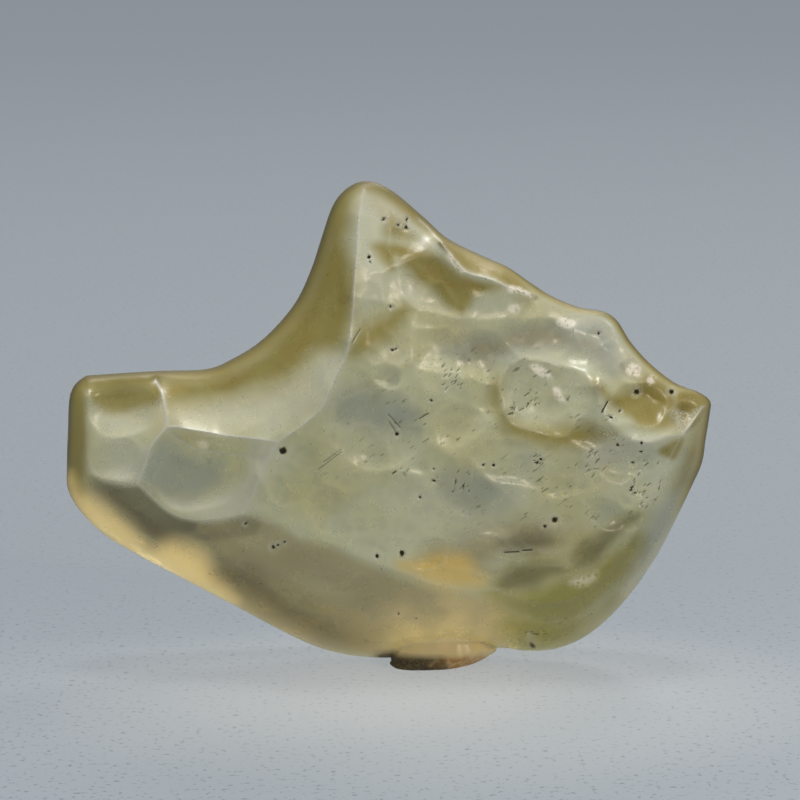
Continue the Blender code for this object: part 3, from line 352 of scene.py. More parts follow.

# Where the glass takes a colour, in many places painted shade, painted glow and painted glints: a place, how
# strong it is, how soft its edge is, and its outline as u and v of one corner after the other
TINTS = {
    # Olive: partly the deeper colour of glass seen along a long path, partly painted shade where the rims and
    # the wedge below the peak show darker
    "olive": (
        ("arm top", 1, 0.5, (-19.9, 18, -18.8, 18.2, -16.6, 18.3, -14.4, 18.2, -14.2, 16.6, -15, 16.4,
            -16.6, 16, -18.1, 16.1, -19, 16.9)),
        ("arm end", 1, 0.5, (-20.2, 17.7, -19, 17.5, -18.9, 15.5, -18.9, 13.6, -19, 11.8, -19.4, 10.6,
            -20.2, 11.8, -20.5, 14.9)),
        ("ramp rim", 1, 0.8, (-14, 18.1, -11.6, 18.1, -9.4, 18.8, -7.5, 20.2, -6.1, 21.9, -5.1, 23.5, -4.5,
            25.4, -3.8, 27.4, -3.1, 29.4, -2.4, 28.9, -2.8, 26.8, -2.5, 25.4, -2.3, 23.6, -2.5, 21.4, -3.1,
            20, -4.7, 19.8, -6.1, 18.5, -8.4, 17.5, -10.9, 16.8, -13.9, 16.6)),
        ("wedge", 1, 0.45, (-1.2, 26.4, -0.3, 26.6, 1.1, 26.4, 1.9, 26.2, 2.9, 25.8, 3.6, 25.3, 4.2, 24.8,
            4.8, 24.5, 5.8, 24.2, 6.9, 23.8, 6.2, 23.4, 5.2, 23, 4.6, 22.2, 3.8, 22.5, 2.9, 23.4, 1.8, 24.1,
            1.1, 24.9, 0.4, 25.6, 0.2, 24.9, -0.3, 25.2, -0.9, 25.9)),
        ("peak stain", 0.7, 0.5, (-0.5, 27.2, -0.2, 27.9, 0.1, 28.2, 0.6, 27.9, 1.1, 27.4, 1.9, 26.8, 1.2,
            26.5, 0.4, 26.6, -0.2, 26.7)),
        ("triangle", 1, 0.8, (-2.6, 19.4, -2.4, 20.4, -1.6, 21.4, -0.2, 22.1, 0.8, 22.6, 1.2, 22.2, 0.2,
            20.7, -0.8, 19.9, -1.8, 19.4)),
        ("crest", 1, 0.25, (3.1, 26.6, 4.4, 26.1, 5.9, 25.5, 7.2, 25, 8.1, 24.2, 8.8, 23.5, 7.8, 23.6, 6.8,
            24.2, 5.6, 24.5, 4.8, 24.8, 4.1, 25.4, 3.6, 25.9)),
        ("tip wedge", 1, 0.5, (12.5, 18.1, 13.2, 17.8, 13.9, 17.1, 14.9, 17.2, 15.6, 17.6, 16.1, 18.1, 16.9,
            17.8, 17.6, 17.1, 17.8, 16.1, 17.4, 15.1, 16.6, 14.8, 15.6, 14.9, 14.9, 15.5, 14.2, 16, 13.5,
            16.8, 12.9, 17.4)),
        ("tip end", 1, 0.25, (18.2, 17.2, 19.8, 16.9, 19.6, 15.8, 18.8, 14.8, 18.3, 15.4, 18, 16.4)),
        ("step shade", 1, 0.8, (6.7, 17.8, 7.2, 16.1, 8.5, 15.3, 10.6, 15.2, 12.7, 15.1, 14.2, 14.5, 12.7,
            14.2, 11.6, 13.7, 10.1, 13.6, 8.8, 13.9, 7.5, 14.4, 6.9, 15.2, 6.3, 16.6)),
        ("corner", 1, 0.25, (16.8, 13.5, 17.3, 13.9, 18.4, 14.3, 18.1, 13.3, 17.8, 12.9, 17.2, 13.1)),
        ("right side", 0.6, 0.7, (19.8, 16.4, 19.8, 14.2, 19.4, 12.4, 18.8, 11.1, 18, 10.8, 17.4, 11.2,
            17.8, 12.7, 18.5, 14.4, 19.1, 15.2)),
    ),
    # Painted shade: the down-turned lower bevel and a few darker facets, in a smoky brown
    "smoke": (
        ("bevel", 1, 0.5, (-20, 11.8, -18.6, 11.5, -17, 11.2, -15.8, 10.4, -14.4, 9.2, -12.5, 9, -9.4, 9.3,
            -8, 9.4, -5.6, 8, -2.8, 7.2, 0.6, 5.6, 3.1, 4.8, 5.6, 4.2, 6.9, 4, 6.9, 1.8, 4.4, 0.8, 0.6, 0.5,
            -3.1, 0.8, -6.2, 1.8, -9.4, 3.6, -12.5, 5.5, -16.2, 7.5, -18.8, 9.2, -20, 10.5)),
        ("lower face", 0.8, 1.2, (6.9, 9.1, 9.4, 9.6, 11.9, 8.6, 13.1, 7.7, 11.9, 6.1, 9.4, 6.6, 6.9, 6.4,
            5.5, 5.2, 3.1, 6.8, 5, 8.3)),
        ("long band core", 0.6, 0.6, (5.5, 20.2, 7.5, 20.9, 9.7, 21.2, 11.8, 20.8, 12.9, 20, 11.6, 19.9,
            9.7, 20.2, 7.5, 19.8, 5.9, 19.4)),
        ("tip facet", 0.5, 0.4, (17.2, 16.8, 18.8, 16.6, 19.5, 16.2, 18.8, 15, 18.2, 14.6, 17.2, 15.2)),
    ),
    # Painted shade: dark patches where shade falls under the brow, the steps and the bowl's lip, in the side
    # groove and on the keel and crest
    "shade": (
        ("side groove", 0.4, 0.5, (6.9, 4.2, 8.4, 4, 9.7, 4.1, 10.9, 4.2, 11.9, 4.6, 12.8, 5.2, 13.5, 6.1,
            14.2, 7.1, 15, 8.1, 15.6, 9.2, 16.1, 10.2, 16.9, 10.6, 16.5, 9.1, 15.8, 7.7, 14.9, 6.6, 14, 5.6,
            13.1, 4.8, 12.1, 4.1, 10.9, 3.6, 9.7, 3.4, 8.4, 3.4, 6.9, 3.7)),
        ("under the brow", 1, 0.6, (-18.6, 11.8, -16.9, 11.5, -15.8, 11.3, -15.1, 10.7, -14.5, 10, -13.8,
            9.4, -12.8, 9.1, -12, 8.9, -12.2, 8.3, -13.2, 8, -14.4, 7.8, -15.1, 8.1, -16, 8.8, -16.9, 9.8,
            -17.8, 10.6)),
        ("brow shadow", 1, 0.2, (-18.1, 11.5, -16.9, 11.3, -15.8, 11.3, -15, 10.6, -14.1, 9.8, -13.1, 9.2,
            -12.1, 9, -12.1, 8.6, -13.2, 8.4, -14.4, 8.6, -15.3, 9.4, -16.2, 10.2, -17.4, 10.8)),
        ("crest top", 0.45, 0.4, (3.1, 26.5, 4.4, 26.1, 5.9, 25.4, 7.2, 24.9, 8.1, 24.2, 8.7, 23.6, 7.8,
            23.8, 6.8, 24.3, 5.6, 24.7, 4.8, 24.9, 4.1, 25.5, 3.5, 26.1)),
        ("tip shade", 0.35, 0.5, (15.6, 16.8, 16.6, 17, 17.1, 16.5, 17, 15.6, 16.2, 15.2, 15.4, 15.5)),
        ("along the brow", 0.5, 0.25, (-13.1, 9.3, -12, 9.1, -10.5, 9.2, -9.2, 9.6, -8, 9.1, -8.2, 8.4,
            -9.4, 8, -11.1, 7.9, -12.8, 8)),
        ("left keel", 1, 1.2, (-10.9, 6, -9.1, 6.4, -7.6, 5.5, -6.2, 4.2, -4.4, 3.3, -2.5, 2.2, -0.9, 1.4,
            -2.8, 1, -5, 1.8, -7.2, 3.1, -9.4, 4.6)),
        ("bowl", 0.75, 0.6, (6.6, 5.3, 7.2, 6.1, 8.1, 6.5, 9.5, 6.6, 11, 6.5, 10.9, 5.9, 10.1, 5.5, 9.1, 5,
            7.8, 4.6, 6.9, 4.6)),
        ("bowl side", 0.6, 0.4, (11.2, 6.6, 11.6, 7.5, 12.1, 8.1, 13, 8.4, 13.9, 8.9, 14.8, 9.6, 15.6, 9.9,
            15.8, 9.4, 15, 8.6, 14.1, 7.9, 13.5, 7.2, 12.9, 6.4, 12.1, 6.1, 11.5, 6.2)),
        ("under the step", 1, 0.8, (6.9, 7.7, 8.1, 8.3, 9.7, 8.4, 10.6, 7.8, 9.7, 7.4, 8.1, 7.2)),
    ),
    # Painted glow: light that would gather in the lower left edge and along the keel, drawn as gold colour
    # and a faint emission
    "gold": (
        ("left streak", 1, 1, (-20.1, 11.9, -19.4, 11, -18.1, 10.1, -16.5, 8.7, -15, 7.4, -13.7, 7.8, -12.4,
            7.4, -11.5, 6.5, -11, 5.5, -9.4, 4.1, -10.3, 3.9, -12.2, 4.8, -14.4, 5.9, -16.2, 7, -18, 8.2,
            -19.4, 9.6, -20.1, 10.6)),
        ("keel rim", 0.55, 2.2, (-9.4, 4.2, -6.2, 2.4, -4.1, 1.5, -1.9, 1.6, -0.3, 2.7, 0.9, 3.8, 3.8, 4.2,
            6.9, 4.1, 7.8, 2.9, 6.9, 1.2, 3.8, 0.6, 0.3, 0.4, -3.1, 0.5, -6.2, 1.4, -8.8, 3)),
    ),
    # Amber of the thick glass, partly painted glow: this pocket also glows faintly
    "amber": (
        ("pocket", 0.9, 0.7, (0.4, 6.5, 1.4, 6.8, 2.2, 7.1, 3.1, 7.4, 4.7, 7.1, 5.4, 6.1, 5.8, 5.2, 4.4,
            4.8, 2.8, 5.1, 1.4, 5.7, 0.6, 6.1)),
    ),
    "green": (
        ("bowl floor", 1, 0.8, (5.9, 4.8, 7.3, 4.8, 8.8, 4.9, 10.6, 5.6, 12.5, 6.2, 14.1, 7.5, 15.4, 8.6,
            15.9, 7.7, 14.7, 5.5, 13.1, 3.9, 11.2, 2.9, 8.8, 2.7, 6.6, 3.9)),
        ("bowl", 0.75, 0.8, (6.2, 5.3, 7.2, 6.2, 8.1, 6.6, 9.5, 6.8, 11.1, 6.6, 11.6, 7.5, 12.1, 8.2, 13,
            8.5, 13.9, 9, 14.8, 9.7, 15.8, 10, 15.9, 9.2, 15, 8.4, 13.5, 7, 12.1, 5.9, 10.1, 5.1, 7.8, 4.5,
            6.6, 4.5)),
        ("keel", 1, 1, (6.9, 3.9, 10.6, 2.9, 12.6, 3.6, 13.9, 4.9, 14.2, 4.2, 13.1, 2.9, 11.6, 1.8, 10, 1,
            6.9, 1.2)),
    ),
    # Painted highlight: slopes turned up to the light made pale, partly the pale frosted surface
    "pale": (
        ("peak", 0.75, 0.8, (-2.4, 29.2, -1.5, 29.9, -0.6, 29.5, 0.1, 28.3, -0.4, 27.4, -1.1, 26.6, -0.8,
            25.5, 0.3, 24.5, 1.6, 23.6, 2.5, 22.9, 1.6, 22.4, 0.3, 23, -1.1, 22.2, -2.1, 21, -2.2, 23, -2.1,
            25.4, -2.3, 26.8, -2.7, 28.3)),
        ("crest slope", 1, 0.4, (-0.1, 29.2, 0.8, 28.6, 1.9, 27.5, 3.4, 25.9, 2.6, 26.2, 1.4, 26.8, 0.6,
            27.6, -0.1, 28.4)),
        ("upper right", 1, 0.6, (11.6, 22, 13.1, 21.9, 14, 21.1, 14.5, 19.9, 15.6, 18.8, 15, 18.1, 13.9,
            19.1, 12.8, 20.2, 11.2, 21.1)),
        ("under the step", 1, 0.6, (12.5, 14.4, 14.4, 13.9, 15.9, 14, 15.6, 13.3, 14.4, 12.6, 13.1, 12.5,
            12.5, 13.3)),
        ("arm", 0.6, 0.8, (-18.6, 16, -16.2, 15.9, -14.4, 16.2, -14.5, 14.9, -15.6, 13.9, -15.9, 11.9,
            -17.5, 11.5, -18.4, 12.4, -18.9, 14.2)),
        ("right edge", 1, 0.6, (18.9, 11.1, 17.5, 8.6, 15.9, 6.4, 14.5, 4.9, 13, 3.5, 12.5, 2.6, 13.9, 3.5,
            15.6, 5.5, 17.2, 7.7, 18.6, 9.6, 19.4, 11.8)),
        ("ramp floor", 0.8, 0.9, (-13.8, 16.2, -10.9, 16.6, -8.4, 17.2, -5.6, 18.5, -3.1, 19.8, -2.6, 19.8,
            -3.4, 17.4, -5, 15.5, -7.2, 14.4, -10, 14.5, -12.5, 14.9, -14.1, 15.2)),
        ("hollow lip", 1, 0.7, (-12.5, 10.5, -10.3, 11.1, -8.8, 12.5, -7.5, 13.9, -7.4, 13, -8.2, 10.8,
            -9.1, 9.6, -11.2, 9.2, -13.1, 9.6, -14.1, 10.5)),
    ),
    # Painted shade: cool grey on hollows and down-turned slopes, where less light falls
    "grey": (
        ("long band", 1, 0.8, (3.1, 19.8, 4.4, 20.4, 5.6, 20.9, 7.5, 21.2, 9.7, 21.4, 11.6, 21.1, 13.1,
            20.3, 14.1, 19.2, 14.5, 18, 13.5, 18.1, 12.4, 19.2, 10.6, 19.9, 8.8, 19.8, 7.5, 19.1, 5.9, 19,
            4.4, 19.2)),
        ("left scoop", 1, 1, (-3.4, 16.6, -2.5, 17.5, -0.9, 17.2, 0.6, 16.6, 1.6, 15.8, 1.4, 14.8, 0, 14.6,
            -1.9, 15, -3.1, 15.5)),
        ("hollow", 1, 0.8, (-15.6, 11.8, -15.2, 13.3, -14.4, 14.4, -13.6, 14.2, -12.8, 13.6, -11.6, 13.1,
            -10.5, 12.8, -10.5, 11.8, -11.2, 11, -12.5, 10.5, -14.1, 10.3, -15, 10.8)),
        ("low scoop", 0.55, 0.8, (12.6, 10.2, 13.9, 10.7, 14.5, 9.6, 13.9, 8.3, 12.9, 8, 12.4, 8.9)),
        ("side stripe", 0.8, 0.5, (18.4, 13.6, 17.9, 12.1, 17.1, 10.5, 15.9, 8.3, 14.2, 6.1, 12.2, 4.4, 9.7,
            3.1, 10.6, 2.8, 13, 3.8, 15.2, 5.8, 16.9, 7.7, 18.2, 10, 19, 11.9, 19.1, 13.3)),
        ("middle", 1, 1.2, (3.1, 11.8, 5, 12.4, 6.9, 11.8, 7.5, 10.5, 6.2, 9.6, 4.4, 9.8, 3.1, 10.5)),
    ),
    "flecked": (
        ("open face", 1, 1.5, (0.6, 18, 3.1, 19.9, 6.9, 19.9, 10.6, 19.2, 15.6, 14.9, 17.2, 13.6, 16.6,
            11.1, 14.4, 9.2, 11.9, 7.7, 8.1, 8, 5, 9.2, 1.9, 10.5, -0.6, 12.4, -3.8, 12.4, -2.5, 15.5)),
        ("keel", 1, 0.8, (6.9, 2.7, 9.4, 3.3, 11.9, 3, 11.2, 1.2, 8.8, 0.8, 6.9, 1.4)),
    ),
    "frost": (
        ("arm lip", 1, 0.3, (-18.8, 12.4, -18.1, 11.9, -16.9, 11.4, -15.8, 11.5, -15.5, 12.7, -15, 13.6,
            -15.6, 13.9, -16.1, 13.1, -17.2, 12.5)),
        ("hollow lip", 1, 0.3, (-14.4, 10.5, -12.5, 9.3, -10.9, 9.1, -9.1, 9.6, -8, 11.8, -7.2, 13.9, -8,
            14.2, -9.1, 13.8, -9.1, 11.8, -10.3, 10.6, -12.5, 10)),
        ("tip", 1, 0.2, (17.4, 16, 18.4, 15, 19.1, 15.5, 19.6, 16.2, 18.8, 16, 18.1, 16.1)),
        ("arm step", 1, 0.25, (-14.6, 16.8, -14.2, 16.8, -13.9, 15.2, -13.4, 14.6, -14.1, 14.9)),
        ("lower step", 1, 0.3, (13.1, 15.2, 15.6, 14.2, 17.5, 14.5, 17.2, 14, 15.3, 13.8, 13.4, 14.2)),
    ),
    # Painted highlights: small warm glints where a lamp would catch little facets, drawn as pale colour and a
    # faint glow
    "gleam": (
        ("ledge", 0.9, 0.08, (10.4, 21.6, 10.8, 21.9, 11.2, 21.9, 11.6, 21.5, 11.3, 21.1, 10.9, 21.2, 10.5,
            21.4)),
        ("upper step", 0.9, 0.08, (14.8, 18.8, 15.2, 19, 15.7, 18.8, 15.6, 18.3, 15.1, 18.2, 14.8, 18.4)),
        ("small chip", 0.8, 0.08, (16.1, 18.1, 16.6, 18.2, 16.6, 17.8, 16.2, 17.6)),
        ("scoop lip", 0.8, 0.08, (8.7, 18.8, 9.1, 19, 9.7, 18.7, 10.1, 18.2, 9.8, 18, 9.1, 18.4)),
        ("scoop side", 0.7, 0.08, (10.2, 17.4, 10.5, 17.6, 10.8, 17, 11, 16.6, 10.6, 16.6, 10.3, 16.9)),
        ("crest line", 0.7, 0.1, (3.5, 25.9, 3.8, 25.9, 4.2, 25.2, 4.8, 24.7, 4.6, 24.6, 4, 25.1)),
        ("crest end", 0.8, 0.08, (7.3, 23.8, 7.9, 23.8, 8.5, 23.6, 9, 23.2, 8.8, 23.1, 8.1, 23.4, 7.4, 23.4)),
        ("below the crest", 0.6, 0.08, (7.3, 22.5, 7.8, 22.7, 8.2, 22.4, 8, 22.1, 7.6, 22.1)),
        ("hollow chip", 0.4, 0.08, (-12.1, 14.1, -11.7, 14.2, -11.3, 13.8, -11.6, 13.6, -12, 13.8)),
        ("bowl glint", 0.4, 0.2, (11.2, 5.2, 11.6, 5.6, 12.4, 5.7, 13, 6, 12.9, 5.5, 12.2, 5.1, 11.6, 5)),
    ),
}


def colour_setting(name, default, description):
    return FloatVectorProperty(name=name, description=description, default=default, subtype="COLOR",
                               min=0.0, max=1.0)


def number_setting(name, default, low, high, description, **kind):
    return FloatProperty(name=name, description=description, default=default, min=low, max=high, **kind)


class GlassSettings(bpy.types.PropertyGroup):
    """Size of the mesh and finish of the glass."""
    mesh_step: number_setting("Mesh step", 0.155 * MM, 0.1 * MM, 1.0 * MM, "Length of the stone's triangles",
                              precision=5, unit="LENGTH")
    tint: colour_setting("Tint", (0.90, 0.94, 0.73), "Colour of the glass surface")
    # Olive of the glass, partly painted shade on the rims and below the peak
    olive: colour_setting("Olive", (0.42, 0.33, 0.05), "Colour of thin rims and of the wedge below the peak")
    # Painted glow: gold colour of the lower edge, which also glows faintly though it is no lamp
    gold: colour_setting("Gold", (1.0, 0.76, 0.33), "Colour where light gathers in the lower edge")
    # Amber of the thick glass above the keel, partly a painted glow of light coming through it
    amber: colour_setting("Amber", (0.97, 0.64, 0.14), "Colour of the warm pocket above the keel")
    green: colour_setting("Green", (0.44, 0.42, 0.08), "Colour of the bowl at the lower right")
    # Painted shade: smoky brown of the down-turned lower bevel
    smoke: colour_setting("Smoke", (0.58, 0.50, 0.29), "Colour of the lower bevel")
    # Painted shade: dark colour of the shaded places under the brow and lips, also of the rim's very edge and
    # of the flecks
    shade: colour_setting("Shade", (0.13, 0.12, 0.075), "Colour of the dark glass under the brow")
    # Painted shade: cool grey of the hollows and down-turned slopes
    grey: colour_setting("Grey", (0.42, 0.48, 0.47), "Colour of the cool hollows")
    # Pale of frost and worn edges, also used for painted highlights on up-turned slopes and ridges
    pale: colour_setting("Pale", (1.0, 1.0, 0.92), "Colour of frosted slopes and of worn edges")
    # Painted highlight: colour of the small warm glints drawn on the surface
    gleam: colour_setting("Gleam", (1.0, 0.93, 0.80), "Colour of the small chips that catch warm light")
    # Near-black colour laid in the pits and scratches
    grime: colour_setting("Grime", (0.015, 0.011, 0.006), "Colour of the dirt in pits and scratches")
    # Dark colour of the foot's left side
    dark_crust: colour_setting("Dark crust", (0.06, 0.045, 0.02), "Colour of the dirty side of the foot")
    crust: colour_setting("Crust", (0.60, 0.30, 0.09), "Colour of the stained side of the foot")
    chalk: colour_setting("Chalk", (0.85, 0.62, 0.32), "Colour of the pale patches of the foot")
    depth_colour: colour_setting("Depth colour", (0.93, 0.84, 0.30), "Colour that thick glass lets through")
    depth: number_setting("Depth", 90.0, 0.0, 1000.0, "How strongly thick glass is coloured, per metre")
    clearness: number_setting("Clearness", 0.5, 0.0, 1.0, "Share of the light that enters the glass",
                              subtype="FACTOR")
    # Painted glow: strength of the glow of the gold edge, the amber pocket and the glints
    gathered_light: number_setting("Gathered light", 0.3, 0.0, 2.0, "Glow of the edge where light gathers")
    bend: number_setting("Index of refraction", 1.46, 1.0, 2.0, "How strongly the glass bends light")
    roughness: number_setting("Roughness", 0.28, 0.0, 1.0, "How frosted the sand-blown surface is",
                              subtype="FACTOR")


class StageSettings(bpy.types.PropertyGroup):
    """Table, light and camera."""
    table_size: number_setting("Table size", 1.5, 0.1, 10.0, "Half width of the pale table", unit="LENGTH")
    table_colour: colour_setting("Table colour", (0.0774, 0.0872, 0.0967), "Colour of the table")
    table_glow: number_setting("Table glow", 3.0, 0.0, 10.0, "Light from the table, which softens shadows")
    pool_colour: colour_setting("Pool colour", (0.046, 0.040, 0.029), "Light that comes through the stone")
    sky_colour: colour_setting("Sky colour", (0.55, 0.58, 0.65), "Colour of the light from all round")
    low_sky: colour_setting("Low sky", (0.10, 0.10, 0.09), "Colour of the light from near the floor")
    sky_strength: number_setting("Sky strength", 1.0, 0.0, 10.0, "Strength of the light from all round")
    lens: number_setting("Lens", 172.8, 10.0, 500.0, "Focal length on a 36 mm wide sensor")


class Value:
    """One number in a node tree; arithmetic on it adds Math nodes."""

    def __init__(self, graph, socket):
        self.graph = graph
        self.socket = socket

    def math(self, operation, *others, clamp=False):
        settings = {"operation": operation, "use_clamp": clamp}
        sockets = dict(enumerate((self,) + others))
        return self.graph.add("ShaderNodeMath", settings, sockets).value()

    def __add__(self, other):
        return self.math("ADD", other)

    def __radd__(self, other):
        return self + other

    def __mul__(self, other):
        return self.math("MULTIPLY", other)

    def __rmul__(self, other):
        return self * other

    def __sub__(self, other):
        return self.math("SUBTRACT", other)

    def __rsub__(self, other):
        return self * -1.0 + other

    def __truediv__(self, other):
        return self.math("DIVIDE", other)

    def __pow__(self, other):
        return self.math("POWER", other)

    def clamped(self):
        return self.math("ADD", 0.0, clamp=True)

    def between(self, low, high):
        """0 below low, 1 above high, and a smooth step from one to the other."""
        settings = {"interpolation_type": "SMOOTHSTEP"}
        return self.graph.add("ShaderNodeMapRange", settings, {0: self, 1: low, 2: high}).value()


class Node:
    """A node whose outputs are taken by name, as a value to reckon with or as a plain link."""

    def __init__(self, graph, node):
        self.graph = graph
        self.node = node

    def link(self, output=0):
        return self.node.outputs[output]

    def value(self, output=0):
        return Value(self.graph, self.node.outputs[output])


class Graph:
    """The node tree of a material or world, emptied and ready to be filled."""

    def __init__(self, owner):
        owner.use_nodes = True
        self.tree = owner.node_tree
        self.tree.nodes.clear()

    def add(self, kind, settings=None, sockets=None):
        """A node of one kind: settings first, then each socket's value, or the link that feeds it."""
        node = self.tree.nodes.new(kind)
        for name, setting in (settings or {}).items():
            setattr(node, name, setting)
        for name, source in (sockets or {}).items():
            source = source.socket if isinstance(source, Value) else source
            if isinstance(source, bpy.types.NodeSocket):
                self.tree.links.new(source, node.inputs[name])
            else:
                node.inputs[name].default_value = source
        return Node(self, node)

    def noise(self, place, scale, detail):
        return self.add("ShaderNodeTexNoise", {}, {"Vector": place, "Scale": scale, "Detail": detail}).value()

    def layer(self, name):
        """A value that the mesh carries at each point."""
        return self.add("ShaderNodeAttribute", {"attribute_name": name}).value("Fac")

    def blend(self, share, first, second):
        """Colour that goes from the first to the second as the share goes from 0 to 1."""
        mixed = self.add("ShaderNodeMix", {"data_type": "RGBA"}, {0: share, 6: first, 7: second})
        return mixed.link(2)


def solid(colour, share=1.0):
    """A colour socket's value: the colour times a share, or times one share for each of its numbers."""
    return (*(np.array(colour) * share), 1.0)


def smooth_path(points, step, closed):
    """Points about a step apart on a Catmull-Rom curve through the given ones."""
    knots = np.array(points, float)
    if closed:
        padded = np.vstack((knots[-1:], knots, knots[:2]))
    else:
        padded = np.vstack((2 * knots[0] - knots[1], knots, 2 * knots[-1] - knots[-2]))
    pieces = []
    for before, start, end, after in zip(padded, padded[1:], padded[2:], padded[3:]):
        count = max(1, round(np.linalg.norm((end - start)[:2]) / step))
        t = (np.arange(count) / count)[:, None]
        bend = 2 * before - 5 * start + 4 * end - after
        twist = 3 * (start - end) + after - before
        pieces.append(start + t / 2 * (end - before + t * (bend + t * twist)))
    if not closed:
        pieces.append(knots[-1:])
    return np.vstack(pieces)


def tree_of(places):
    tree = KDTree(len(places))
    for index, (u, v) in enumerate(places):
        tree.insert((u, v, 0.0), index)
    tree.balance()
    return tree


def nearest_on(path, points):
    """Distance from each point to a closed path, and the path's third value there."""
    tree = tree_of(path[:, :2])
    near = np.array([tree.find((u, v, 0.0))[1] for u, v in points])
    best = np.full(len(points), np.inf)
    value = np.zeros(len(points))
    for first, second in ((near - 1, near), (near, (near + 1) % len(path))):
        start = path[first]
        along = path[second] - start
        reach = ((points - start[:, :2]) * along[:, :2]).sum(1) / (along[:, :2] ** 2).sum(1)
        reach = np.clip(reach, 0.0, 1.0)
        distance = np.linalg.norm(points - start[:, :2] - along[:, :2] * reach[:, None], axis=1)
        closer = distance < best
        best[closer] = distance[closer]
        value[closer] = (start[:, 2] + along[:, 2] * reach)[closer]
    return best, value


def inside(outline, points):
    """Which points lie inside a closed outline, by counting crossings."""
    crossings = np.zeros(len(points), int)
    for start, end in zip(outline, np.roll(outline, -1, 0)):
        spans = (start[1] > points[:, 1]) != (end[1] > points[:, 1])
        if spans.any():
            reach = start[0] + (points[:, 1] - start[1]) / (end[1] - start[1]) * (end[0] - start[0])
            crossings += spans & (points[:, 0] < reach)
    return crossings % 2 == 1


def rim_rings(outline):
    """Rings set in from the outline, closer together where the rim turns over."""
    along = np.roll(outline[:, :2], -1, 0) - np.roll(outline[:, :2], 1, 0)
    inward = np.column_stack((along[:, 1], -along[:, 0])) / np.linalg.norm(along, axis=1)[:, None]
    return [outline[:, :2] + inward * outline[:, 2:] * (1 - math.cos(angle)) for angle in RIM_ANGLES]


def clear_of_rim(outline, points, gap):
    distance, radius = nearest_on(outline, points[:, :2])
    return points[distance > radius * (1 - math.cos(RIM_ANGLES[-1])) + gap]


def circle(u, v, radius, sides):
    return [(u + radius * math.cos(math.tau * side / sides), v + radius * math.sin(math.tau * side / sides))
            for side in range(sides)]


def fill_points(outline, taken, step):
    """Even triangular grid inside the rim, clear of the points that are taken."""
    low, high = outline[:, :2].min(0), outline[:, :2].max(0)
    rows = np.arange(low[1], high[1], step * math.sqrt(0.75))
    columns = np.arange(low[0], high[0], step)
    grid = np.array([(u + (row % 2) * step / 2, v) for row, v in enumerate(rows) for u in columns])
    grid = clear_of_rim(outline, grid[inside(outline, grid)], 0.5 * step)
    tree = tree_of(taken)
    return [(u, v) for u, v in grid if tree.find((u, v, 0.0))[2] > 0.6 * step]


def cut_line(cut, count):
    """Points along a cut, and its direction."""
    u, v, length, turn, _, _ = cut
    along = np.array((math.cos(math.radians(turn)), math.sin(math.radians(turn))))
    return np.array((u, v)) + np.linspace(-0.5, 0.5, count)[:, None] * length * along, along


def cut_points(cut, step):
    """Mesh points of a cut: its floor and its two sides."""
    line, along = cut_line(cut, max(3, round(cut[2] / step) + 1))
    aside = cut[4] * np.array((-along[1], along[0]))
    past = cut[4] * along
    marks = np.vstack((line, line + aside, line - aside, line[:1] - past, line[-1:] + past))
    return [tuple(point) for point in marks]


def with_swarms(cuts, swarms, seed):
    """All cuts, those of the swarms scattered at random but alike in each run."""
    random = np.random.default_rng(seed)
    scattered = []
    for u, v, half_width, half_height, count, turn in swarms:
        for _ in range(count):
            scattered.append((u + half_width * random.uniform(-1, 1), v + half_height * random.uniform(-1, 1),
                              random.uniform(0.10, 0.36), turn + random.normal(0, 12),
                              random.uniform(0.02, 0.035), 0.06))
    return cuts + tuple(scattered)


ALL_FRONT_CUTS = with_swarms(FRONT_CUTS, FRONT_SWARMS, 11)
ALL_BACK_CUTS = with_swarms(BACK_CUTS, BACK_SWARMS, 12)


def plan(outline, ridges, pits, cuts, step):
    """Flat mesh inside the outline: rim strips, then triangles with edges along the ridges."""
    count = len(outline)
    rims = rim_rings(outline)
    places = [(u, v) for u, v in rims[-1]]
    edges = [(index, (index + 1) % count) for index in range(count)]
    held = {}
    for ridge in ridges.values():
        path = clear_of_rim(outline, smooth_path(ridge, step, False), 0.3 * step)
        edges += [(len(places) + index, len(places) + index + 1) for index in range(len(path) - 1)]
        held.update({len(places) + index: height for index, (_, _, height) in enumerate(path)})
        places += [(u, v) for u, v, _ in path]
    marks = [point for cut in cuts for point in cut_points(cut, step)]
    for u, v, radius, _ in pits:
        marks += [(u, v)] + circle(u, v, radius / 2, 6) + circle(u, v, radius, 10)
    marks = np.array(marks)
    marks = clear_of_rim(outline, marks[inside(outline, marks)], 0.2 * step)
    places += [(u, v) for u, v in marks]
    places += fill_points(outline, places, step)
    net = delaunay_2d_cdt([Vector(place) for place in places], edges, [], 0, MERGE_GAP, True)
    flat, _, faces, origins, _, _ = net
    flat, faces = np.array([tuple(place) for place in flat]), np.array(faces)
    faces = faces[inside(rims[-1], flat[faces].mean(1))]

    base = count * (len(rims) - 1)
    points = np.vstack(rims[:-1] + [flat])
    heights = np.full(len(points), np.nan)
    inner = np.zeros(count, int)
    for index, sources in enumerate(origins):
        for source in sources:
            if source in held:
                heights[base + index] = held[source]
            if source < count:
                inner[source] = base + index
    strips = []
    rings = [ring * count + np.arange(count) for ring in range(len(rims) - 1)] + [inner]
    for outer, ring in zip(rings, rings[1:]):
        outer_next, ring_next = np.roll(outer, -1), np.roll(ring, -1)
        strips.append(np.column_stack((outer, ring_next, outer_next)))
        strips.append(np.column_stack((outer, ring, ring_next)))
    return points, np.vstack([faces + base] + strips), heights


